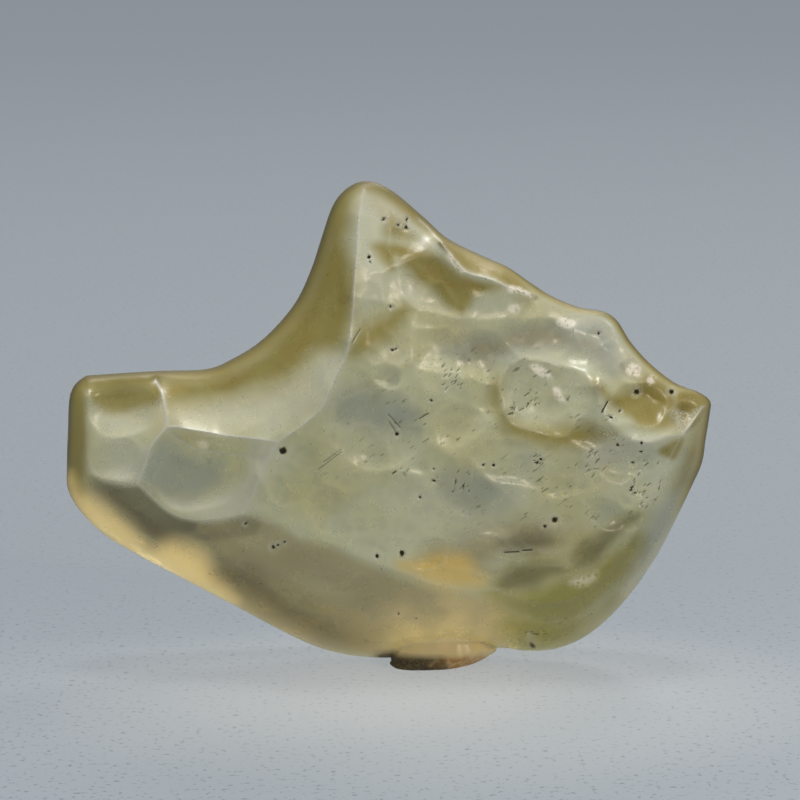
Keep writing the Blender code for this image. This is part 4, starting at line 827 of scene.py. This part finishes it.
def membrane(points, triangles, heights, pressure):
    """Heights of a skin stretched over the points that are held, solved by conjugate gradients."""
    start, end, strength = [], [], []
    area = np.zeros(len(points))
    for corner in range(3):
        apex, left, right = (triangles[:, (corner + turn) % 3] for turn in range(3))
        to_left, to_right = points[left] - points[apex], points[right] - points[apex]
        cross = np.abs(to_left[:, 0] * to_right[:, 1] - to_left[:, 1] * to_right[:, 0]) + 1e-9
        start.append(left)
        end.append(right)
        strength.append(np.clip((to_left * to_right).sum(1) / cross, 0.02, 20.0) / 2)
        area += np.bincount(apex, cross / 6, len(points))
    start, end, strength = np.concatenate(start), np.concatenate(end), np.concatenate(strength)
    total = np.bincount(start, strength, len(points)) + np.bincount(end, strength, len(points))

    def pull(values):
        return (total * values - np.bincount(start, strength * values[end], len(points))
                - np.bincount(end, strength * values[start], len(points)))

    free = np.isnan(heights)
    level = np.where(free, np.nanmean(heights), heights)
    rest = (pressure * area - pull(level)) * free
    course = rest / total
    size = rest @ course
    goal = size * 1e-10
    while size > goal:
        drag = pull(course) * free
        stride = size / (course @ drag)
        level += stride * course
        rest -= stride * drag
        new_size = rest @ (rest / total)
        course = rest / total + new_size / size * course
        size = new_size
    return level


def drift(points, length, seed):
    """Smooth value that wanders between about -1 and 1 over the given length."""
    return np.array([noise.noise(Vector((u / length, v / length, seed))) for u, v in points])


def scoop_depth(points, scoops, seed):
    """Depth of the deepest scoop at each point: uneven edges, steeper below, crests slightly rounded."""
    waver = wavering(points, seed)
    total = np.ones(len(points))
    for u, v, half_length, half_width, turn, depth in scoops:
        cos, sin = math.cos(math.radians(turn)), math.sin(math.radians(turn))
        across = points + waver - (u, v)
        along = (across[:, 0] * cos + across[:, 1] * sin) / half_length
        aside = (across[:, 1] * cos - across[:, 0] * sin) / half_width
        share = np.clip(1 - along ** 2 - aside ** 2, 0.0, None) * (1 - SCOOP_LEAN * aside)
        total += np.exp(SCOOP_SCALE * depth * share / SCOOP_BLEND) - 1
    return SCOOP_BLEND * np.log(total)


def wavering(points, seed):
    """How far an edge wanders at each point."""
    return WAVER * np.column_stack([drift(points, WAVER_LENGTH, seed + part) for part in (0.0, 9.0)])


def cup_depth(points, seed):
    """Depth of small cups that lie side by side and meet in low crests, in large and small ones."""
    random = np.random.default_rng(round(abs(seed)) + 20)
    low, high = points.min(0), points.max(0)
    wandered = points + 0.8 * wavering(points, seed + 5.0)
    total = np.zeros(len(points))
    for depth, spacing in CUPS:
        seats = np.array([(u, v) for v in np.arange(low[1], high[1], spacing)
                          for u in np.arange(low[0], high[0], spacing)])
        seats += random.uniform(-0.5, 0.5, seats.shape) * spacing
        share = random.uniform(0.2, 1.0, len(seats))
        tree = tree_of(seats)
        for index, (u, v) in enumerate(wandered):
            near = tree.find_range((u, v, 0.0), spacing)
            total[index] += depth * max((share[seat] * (1 - (distance / spacing) ** 2)
                                         for _, seat, distance in near), default=0.0)
    return total


def pit_depth(points, pits):
    deepest = np.zeros(len(points))
    for u, v, radius, depth in pits:
        share = np.clip(1 - ((points - (u, v)) ** 2).sum(1) / radius ** 2, 0.0, 1.0)
        deepest = np.maximum(deepest, depth * np.sqrt(share))
    return deepest


def cut_share(points, cut):
    """1 on the floor line of a cut, falling to 0 at its sides."""
    line, _ = cut_line(cut, 2)
    along = line[1] - line[0]
    reach = np.clip((points - line[0]) @ along / (along @ along), 0.0, 1.0)
    distance = np.linalg.norm(points - line[0] - reach[:, None] * along, axis=1)
    return np.clip(1 - distance / cut[4], 0.0, 1.0)


def cut_depth(points, cuts):
    return np.max([cut[5] * cut_share(points, cut) for cut in cuts], axis=0)


def skin(outline, ridges, swells, scoops, pits, cuts, side, step):
    """One skin as points along the sight lines and triangles; side is 1 in front and -1 behind."""
    points, triangles, heights = plan(outline, ridges, pits, cuts, step)
    distance, radius = nearest_on(outline, points)
    edge = np.arange(len(points)) < len(outline)
    heights[edge] = radius[edge]
    pressure = sum(amount * np.exp(-((points - (u, v)) ** 2).sum(1) / reach ** 2)
                   for u, v, reach, amount in swells)
    lumps = sum(height * drift(points, length, 7.0 * side) for height, length in LUMPS)
    level = membrane(points, triangles, heights, pressure)
    cupped = np.maximum(tint_share(points, CUPPED_FACE), float(side < 0))
    cupped = cupped * (1 - CUPS_ELSEWHERE) + CUPS_ELSEWHERE
    wear = scoop_depth(points, scoops, 3.0 * side) + cupped * cup_depth(points, 3.0 * side)
    level += (lumps - wear) * np.clip(distance / EDGE_SHELTER, 0.0, 1.0)
    turnover = np.sqrt(1 - np.clip(1 - distance / radius, 0.0, 1.0) ** 2)
    holes = np.maximum(pit_depth(points, pits), cut_depth(points, cuts))
    level = np.maximum(level, LEAST_RIM * radius) * turnover - holes
    level[edge] = 0.0
    upright = math.tan(EYE_DOWN) * points[:, 1]
    return np.column_stack((points, upright + side * level)), triangles


def stood_up(seen):
    """Positions in metres of points given along the sight lines of the leaning picture plane."""
    flat = EYE_CENTRE + (seen[:, :2] - EYE_CENTRE) * (1 - seen[:, 2:] / EYE_DISTANCE)
    cos, sin = math.cos(EYE_DOWN), math.sin(EYE_DOWN)
    return MM * np.column_stack((flat[:, 0], flat[:, 1] * sin - seen[:, 2] * cos,
                                 flat[:, 1] * cos + seen[:, 2] * sin - FOOT_LEVEL))


def as_seen(places):
    """Sight-line coordinates in millimetres of places in metres: the inverse of stood_up."""
    across, deep, high = (places / MM).T
    high = high + FOOT_LEVEL
    cos, sin = math.cos(EYE_DOWN), math.sin(EYE_DOWN)
    nearness = high * sin - deep * cos
    flat = np.column_stack((across, deep * sin + high * cos))
    shrunk = (1 - nearness / EYE_DISTANCE)[:, None]
    return np.column_stack((EYE_CENTRE + (flat - EYE_CENTRE) / shrunk, nearness))


def stone_form(step):
    """Both skins, joined along the outline."""
    outline = smooth_path(OUTLINE, 2 * step, True)
    form = bmesh.new()
    front = (FRONT_RIDGES, FRONT_SWELLS, FRONT_SCOOPS, FRONT_PITS, ALL_FRONT_CUTS, 1)
    back = (BACK_RIDGES, BACK_SWELLS, BACK_SCOOPS, BACK_PITS, ALL_BACK_CUTS, -1)
    for side in (front, back):
        seen, triangles = skin(outline, *side, step)
        corners = [form.verts.new(corner) for corner in stood_up(seen)]
        for triangle in triangles:
            form.faces.new([corners[index] for index in triangle])
    bmesh.ops.remove_doubles(form, verts=form.verts, dist=SAME_PLACE)
    bmesh.ops.recalc_face_normals(form, faces=form.faces)
    return form


def foot_form():
    """Low uneven knob that the stone stands on, flat beneath."""
    form = bmesh.new()
    rings = []
    for height, scale, shift in FOOT_RINGS:
        ring = []
        for side in range(FOOT_SIDES):
            angle = math.tau * side / FOOT_SIDES
            lump = scale * (1 + sum(size * math.sin(waves * angle + start + height)
                                    for waves, size, start in FOOT_LUMPS))
            across, deep = FOOT_HALF_WIDTH * math.cos(angle), FOOT_HALF_DEPTH * math.sin(angle)
            crumb = noise.noise(Vector((across, deep, height)) / FOOT_CRUMB_LENGTH)
            crumbs = FOOT_CRUMBS - RIGHT_CRUMBS * math.cos(angle)
            lump += crumbs * crumb / FOOT_HALF_WIDTH * min(1.0, 4 * height + 0.3)
            corner = (FOOT_CENTRE[0] + shift + across * lump, FOOT_CENTRE[1] + deep * lump, height)
            ring.append(form.verts.new(MM * Vector(corner)))
        rings.append(ring)
    for lower, upper in zip(rings, rings[1:]):
        for side in range(FOOT_SIDES):
            after = (side + 1) % FOOT_SIDES
            form.faces.new((lower[side], lower[after], upper[after], upper[side]))
    form.faces.new(rings[0][::-1])
    form.faces.new(rings[-1])
    return form


def object_from(form, name):
    mesh = bpy.data.meshes.new(name)
    form.to_mesh(mesh)
    form.free()
    thing = bpy.data.objects.new(name, mesh)
    bpy.context.scene.collection.objects.link(thing)
    return thing


def joined(stone, foot):
    """The stone's mesh with the foot grown into it."""
    join = stone.modifiers.new("join foot", "BOOLEAN")
    join.operation = "UNION"
    join.solver = "EXACT"
    join.object = foot
    solid_stone = stone.evaluated_get(bpy.context.evaluated_depsgraph_get())
    mesh = bpy.data.meshes.new_from_object(solid_stone)
    stone.modifiers.clear()
    stone.data = mesh
    bpy.data.objects.remove(foot)
    mesh.shade_smooth()


def read(items, name, width, kind=np.float32):
    """A vector of each of a mesh's points or edges, in rows."""
    values = np.empty(width * len(items), kind)
    items.foreach_get(name, values)
    return values.reshape(-1, width)


def fit_to_box(mesh):
    """Moves the mesh to the middle of the model's box and trims its size to it."""
    points = read(mesh.vertices, "co", 3)
    low, high = (np.array(corner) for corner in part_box(NODE))
    own_low, own_high = points.min(0), points.max(0)
    scale = np.minimum(1.0, (high - low) / (own_high - own_low))
    points = (points - (own_low + own_high) / 2) * scale + (low + high) / 2
    mesh.vertices.foreach_set("co", points.astype(np.float32).ravel())
    mesh.update()


def tint_share(points, places):
    """How far each point is inside any of the outlines: 0 outside, 1 inside, and between across the edge."""
    share = np.zeros(len(points))
    for _, strength, blur, outline in places:
        corners = np.reshape(outline, (-1, 2))
        path = smooth_path(np.column_stack((corners, np.zeros(len(corners)))), TINT_STEP, True)
        low, high = path[:, :2].min(0) - blur, path[:, :2].max(0) + blur
        near = np.flatnonzero(((points > low) & (points < high)).all(1))
        depth = nearest_on(path, points[near])[0] * np.where(inside(path, points[near]), 1, -1)
        share[near] = np.maximum(share[near], strength * np.clip(0.5 + depth / (2 * blur), 0.0, 1.0))
    return share


def sharpness(mesh, places):
    """How strongly the surface bends outwards at each point, in turns of one radian per millimetre."""
    start, end = read(mesh.edges, "vertices", 2, np.int32).T
    normals = read(mesh.vertices, "normal", 3)
    along = (places[end] - places[start]) / MM
    stretch = np.maximum((along ** 2).sum(1), 0.01)
    count = len(places)
    links = np.bincount(start, minlength=count) + np.bincount(end, minlength=count)
    bend = (np.bincount(start, -2 * (along * normals[start]).sum(1) / stretch, count)
            + np.bincount(end, 2 * (along * normals[end]).sum(1) / stretch, count)) / links
    for _ in range(BEND_SMOOTHING):
        around = np.bincount(start, bend[end], count) + np.bincount(end, bend[start], count)
        bend = (bend + around / links) / 2
    return bend


def held(values):
    """The values, held between 0 and 1."""
    return np.clip(values, 0.0, 1.0)


def dark_fill_layers(points, level):
    """Darkening in the pits and cuts, and the pale halo round each pit."""
    grime, halo = np.zeros(len(points)), np.zeros(len(points))
    wander = np.column_stack([drift(points, 3 * PIT_WAVER, part) for part in (41.0, 57.0)])
    uneven = points + PIT_WAVER * wander
    front = (level > 0, FRONT_PITS, ALL_FRONT_CUTS)
    back = (level <= 0, BACK_PITS, ALL_BACK_CUTS)
    for on_side, pits, cuts in (front, back):
        for u, v, radius, _ in pits:
            reach = np.linalg.norm(uneven - (u, v), axis=1) / radius
            grime = np.maximum(grime, on_side * held(PIT_FILL * (1 - reach)))
            halo = np.maximum(halo, on_side * held(1.0 - np.abs(reach - HALO_REACH)))
        for cut in cuts:
            grime = np.maximum(grime, on_side * held(CUT_FILL * cut_share(points, cut)))
    return grime, halo


def ridge_layers(points, level):
    """Pale lines along the ridges, partly painted highlights, and which points lie on a ridge that is still
    crisp.
    """
    line, crisp = np.zeros(len(points)), np.zeros(len(points), bool)
    for name, paleness in PALE_RIDGES.items():
        tree = tree_of(smooth_path(FRONT_RIDGES[name], RIDGE_STEP, False)[:, :2])
        distance = np.array([tree.find((u, v, 0.0))[2] for u, v in points])
        line = np.maximum(line, (level > 0) * paleness * held(1.5 - distance / PALE_LINE))
        if name in CRISP_RIDGES:
            crisp |= (level > 0) & (distance < ON_RIDGE)
    return line, crisp


def add_layers(mesh):
    """Values at each point of the stone for its finish, and the crisp edges."""
    places = read(mesh.vertices, "co", 3).astype(float)
    seen = as_seen(places)
    points, level = seen[:, :2], seen[:, 2] - math.tan(EYE_DOWN) * seen[:, 1]
    front = held(0.5 + level / FRONT_BLUR)
    from_rim, _ = nearest_on(smooth_path(OUTLINE, TINT_STEP, True), points)
    rim_width = RIM_WIDTH - (RIM_WIDTH - THIN_RIM) * held(points[:, 0] / THIN_FROM)
    bend = sharpness(mesh, places)
    open_face = held(from_rim / SHELTERED_EDGE)
    grime, halo = dark_fill_layers(points, level)
    line, crisp = ridge_layers(points, level)
    foot = np.linalg.norm((places[:, :2] / MM - FOOT_CENTRE) / (FOOT_HALF_WIDTH, FOOT_HALF_DEPTH), axis=1)
    low_down = np.clip(STAIN_TOP - places[:, 2] / MM, 0.0, STAIN_FADE) / STAIN_FADE
    rim_above = np.clip((points[:, 1] - LOW_RIM) / RIM_FADE, LEAST_RIM_COLOUR, 1.0)
    layers = {kind: front * tint_share(points, outlines) for kind, outlines in TINTS.items()}
    layers.update({
        "rim": held(1 - from_rim / rim_width) * rim_above,
        "worn": held(bend / WORN_BEND) * open_face,
        # Painted shade: places that bend inwards darkened as shade in hollows
        "hollowed": held(-bend / HOLLOW_BEND) * open_face,
        "line": line, "grime": grime, "halo": halo,
        "foot": held((STAIN_REACH - foot) / STAIN_BLUR) * low_down,
    })
    for name, values in layers.items():
        mesh.attributes.new(name, "FLOAT", "POINT").data.foreach_set("value", values.astype(np.float32))
    ends = read(mesh.edges, "vertices", 2, np.int32)
    mesh.attributes.new("sharp_edge", "BOOLEAN", "EDGE").data.foreach_set("value", crisp[ends].all(1))


def foot_colours(graph, settings, place):
    """The foot's colours: dark and gritty on the left, stained and patchy on the right."""
    rightward = graph.add("ShaderNodeSeparateXYZ", {}, {0: place}).value("X")
    stained = (rightward + 0.006 * (graph.noise(place, 600.0, 2.0) - 0.5)).between(0.0030, 0.0046)
    specks = graph.noise(place, 8000.0, 1.0).between(0.4, 0.65)
    gritty = graph.blend(specks, solid(settings.dark_crust), solid(settings.dark_crust, 2.5))
    patches = graph.noise(place, 1500.0, 2.0).between(0.4, 0.62)
    patchy = graph.blend(patches, solid(settings.crust), solid(settings.chalk))
    return graph.blend(stained, gritty, patchy)


def fleck_share(graph, place):
    """Fine slanting flecks, which gather in swarms."""
    axes = graph.add("ShaderNodeSeparateXYZ", {}, {0: place})
    across, deep, high = (axes.value(axis) for axis in "XYZ")
    slanted = graph.add("ShaderNodeCombineXYZ", {}, {
        "X": (across + high * 0.7) * 1100.0, "Y": deep * 3000.0, "Z": (high - across * 0.7) * 4800.0,
    }).link()
    fleck = graph.noise(slanted, 1.0, 1.0).between(0.67, 0.70)
    return graph.layer("flecked") * fleck * graph.noise(place, 420.0, 2.0).between(0.44, 0.56)


def glass_finish(settings):
    """Frosted yellow-green glass; tints with painted shade, glow and glints, worn edges and painted
    highlights, frost, foot and dark pits are laid on one after the other.
    """
    glass_material = bpy.data.materials.new("desert_glass_finish")
    graph = Graph(glass_material)
    layer = graph.layer
    place = graph.add("ShaderNodeTexCoord").link("Object")
    ragged = 2.0 * (graph.noise(place, 420.0, 1.0) - 0.5)
    rim, foot, grime = layer("rim"), layer("foot"), layer("grime")

    def patch(kind):
        """A tint's share, with an edge that wanders a little."""
        return (layer(kind) + ragged * (layer(kind) * (1 - layer(kind)))).between(0.0, 1.0)

    cloud = graph.noise(place, 160.0, 3.0).between(0.35, 0.65)
    colour = graph.blend(cloud, solid(settings.tint), solid(settings.tint, (0.97, 0.91, 0.70)))

    def lay(amount, tint, tone=1.0):
        nonlocal colour
        colour = graph.blend(amount, colour, solid(tint, tone))

    # Painted shade: hollows greyed by how much they bend inwards
    lay(layer("hollowed") * 0.3, settings.grey)
    # Tints laid in turn; the shade, cool shade and smoky shade tints are painted shade, the gold one painted
    # glow
    for kind, amount in TINT_SHARES.items():
        lay(patch(kind) * amount, getattr(settings, kind))
    # Rims darkened to olive and, at the very edge, to the shade colour: partly deeper glass colour, partly
    # painted shade
    lay(rim.between(0.05, 0.8) * 0.9, settings.olive, 0.95)
    lay(rim.between(0.6, 1.0) * 0.7, settings.shade)
    lay(layer("frost") * graph.noise(place, 11000.0, 1.0).between(0.44, 0.62) * 0.8, settings.pale)
    # Worn edges and halos, and pale ridge lines that are partly painted highlights
    lay((layer("worn") * 0.15 + layer("line") ** 1.4 + layer("halo") * 0.4).clamped(), settings.pale)
    # Painted highlights: the small warm glints, as colour here and as a faint glow below
    gleam = layer("gleam") * graph.noise(place, 5000.0, 1.0).between(0.30, 0.52)
    lay(gleam, settings.gleam)
    border = 1.2 * (graph.noise(place, 900.0, 2.0) - 0.5) * (1 - foot) * foot.between(0.0, 0.2)
    colour = graph.blend((foot * 1.3 + border).clamped(), colour, foot_colours(graph, settings, place))
    lay(fleck_share(graph, place) * 0.75, settings.shade)
    # Pits and cuts darkened
    lay(grime.between(0.05, 0.6), settings.grime)

    mottle = 0.18 * (graph.noise(place, 700.0, 4.0) - 0.5)
    roughness = (settings.roughness + mottle + 0.15 * layer("frost") + 0.4 * grime
                 + 0.4 * foot + 0.25 * rim).math("MAXIMUM", 0.1)
    # Painted glow: the gold edge, a little of the amber pocket and the glints give off light though they are
    # no lamp
    warm = (patch("gold") + patch("amber") * 0.2) * (1 - foot).clamped()
    painted_glow = graph.blend(warm, solid((0.0, 0.0, 0.0)), solid(settings.gold))
    painted_glow = graph.blend(gleam, painted_glow, solid(settings.gleam))
    grain = graph.noise(place, 9000.0, 2.0)
    bump = graph.add("ShaderNodeBump", {}, {"Strength": 0.35, "Distance": 0.02 * MM, "Height": grain})
    glass = graph.add("ShaderNodeBsdfPrincipled", {}, {
        "Base Color": colour, "Roughness": roughness, "Normal": bump.link(),
        "Emission Color": painted_glow, "Emission Strength": settings.gathered_light,
        "IOR": settings.bend, "Transmission Weight": settings.clearness,
    })
    depth = graph.add("ShaderNodeVolumeAbsorption", {}, {
        "Color": solid(settings.depth_colour), "Density": settings.depth,
    })
    graph.add("ShaderNodeOutputMaterial", {}, {"Surface": glass.link(), "Volume": depth.link()})
    return glass_material


def table_finish(settings):
    """Pale speckled table, dimmer far away, with a pool of light in front of the stone."""
    table_material = bpy.data.materials.new("table_finish")
    graph = Graph(table_material)
    place = graph.add("ShaderNodeTexCoord").link("Object")
    speckle = graph.noise(place, 2500.0, 3.0).between(0.30, 0.42)
    own = settings.table_colour
    colour = graph.blend(speckle, solid(own, 0.6), solid(own))
    axes = graph.add("ShaderNodeSeparateXYZ", {}, {0: place})
    across, deep = axes.value("X"), axes.value("Y")
    near = graph.blend(deep.between(-0.012, 0.03), colour, solid(own, 0.86))
    far = graph.blend(deep.between(0.05, 0.45), near, solid(own, 0.66))
    from_pool = (((across - 0.002) / 0.034) ** 2.0 + ((deep + 0.009) / 0.024) ** 2.0) ** 0.5
    pool = solid(np.array(own) * 1.1 + settings.pool_colour)
    glow = graph.blend(from_pool.between(1.0, 0.0), far, pool)
    glow = graph.blend((1 - speckle) * 0.25, glow, solid(own, 0.4))
    surface = graph.add("ShaderNodeBsdfPrincipled", {}, {
        "Base Color": colour, "Roughness": 0.6, "Emission Color": glow,
        "Emission Strength": settings.table_glow,
    })
    graph.add("ShaderNodeOutputMaterial", {}, {"Surface": surface.link()})
    return table_material


def sky_finish(settings):
    """Light from all round, stronger from above."""
    world = bpy.data.worlds.new("soft room")
    graph = Graph(world)
    way = graph.add("ShaderNodeTexCoord").link("Generated")
    height = graph.add("ShaderNodeSeparateXYZ", {}, {0: way}).value("Z")
    colour = graph.blend(height.between(-0.1, 0.9), solid(settings.low_sky), solid(settings.sky_colour))
    sky = graph.add("ShaderNodeBackground", {}, {"Color": colour, "Strength": settings.sky_strength})
    graph.add("ShaderNodeOutputWorld", {}, {"Surface": sky.link()})
    return world


def add_lamp(name, place, size, power, colour):
    """Soft square lamp at a place in metres, turned towards the middle of the stone."""
    lamp = bpy.data.lights.new(name, "AREA")
    lamp.size = size
    lamp.energy = power
    lamp.color = colour
    thing = bpy.data.objects.new(name, lamp)
    thing.location = place
    thing.rotation_euler = (Vector(STONE_MIDDLE) - Vector(place)).to_track_quat("-Z", "Y").to_euler()
    bpy.context.scene.collection.objects.link(thing)


class GLASS_OT_stone(bpy.types.Operator):
    """Build the worn glass stone with its foot, and give it its finish"""
    bl_idname = "desert_glass.stone"
    bl_label = "Stone"

    def execute(self, context):
        settings = context.scene.desert_glass
        stone = object_from(stone_form(settings.mesh_step / MM), "desert_glass_body")
        joined(stone, object_from(foot_form(), "foot_former"))
        add_layers(stone.data)
        fit_to_box(stone.data)
        stone.data.materials.clear()
        stone.data.materials.append(glass_finish(settings))
        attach(stone, BODY)
        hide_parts(NODE)
        return {"FINISHED"}


class GLASS_OT_stage(bpy.types.Operator):
    """Lay the pale table and place the light and the camera"""
    bl_idname = "desert_glass.stage"
    bl_label = "Stage"

    def execute(self, context):
        settings = context.scene.desert_glass_stage
        form = bmesh.new()
        bmesh.ops.create_grid(form, x_segments=1, y_segments=1, size=settings.table_size)
        table = object_from(form, "table")
        table.data.materials.append(table_finish(settings))

        context.scene.world = sky_finish(settings)
        for lamp in LAMPS:
            add_lamp(*lamp)

        lens = bpy.data.cameras.new("camera")
        lens.sensor_width = SENSOR_WIDTH
        lens.lens = settings.lens
        lens.clip_start = MM
        camera = bpy.data.objects.new("camera", lens)
        centre = stood_up(np.array([(*EYE_CENTRE, 0.0)]))[0] + FIT_SHIFT
        back = Vector((0.0, -math.cos(EYE_DOWN), math.sin(EYE_DOWN)))
        camera.location = Vector(centre) + back * EYE_DISTANCE * MM
        camera.rotation_euler = (-back).to_track_quat("-Z", "Y").to_euler()
        context.scene.collection.objects.link(camera)
        context.scene.camera = camera
        context.scene.view_settings.view_transform = "Standard"
        return {"FINISHED"}


class GLASS_PT_panel(bpy.types.Panel):
    """Buttons for the stone and the stage"""
    bl_idname = "GLASS_PT_panel"
    bl_label = "Desert glass"
    bl_space_type = "VIEW_3D"
    bl_region_type = "UI"
    bl_category = "Desert Glass"

    def draw(self, context):
        for title, settings, operator in (
            ("Stone", context.scene.desert_glass, GLASS_OT_stone),
            ("Stage", context.scene.desert_glass_stage, GLASS_OT_stage),
        ):
            box = self.layout.box()
            box.label(text=title)
            for name in settings.bl_rna.properties.keys():
                if name not in ("name", "rna_type"):
                    box.prop(settings, name)
            box.operator(operator.bl_idname)


CLASSES = (GlassSettings, StageSettings, GLASS_OT_stone, GLASS_OT_stage, GLASS_PT_panel)


def register():
    for part in CLASSES:
        bpy.utils.register_class(part)
    bpy.types.Scene.desert_glass = PointerProperty(type=GlassSettings)
    bpy.types.Scene.desert_glass_stage = PointerProperty(type=StageSettings)


def unregister():
    del bpy.types.Scene.desert_glass_stage
    del bpy.types.Scene.desert_glass
    for part in reversed(CLASSES):
        bpy.utils.unregister_class(part)


def main():
    register()
    bpy.ops.desert_glass.stone()
    bpy.ops.desert_glass.stage()


if __name__ == "__main__":
    main()
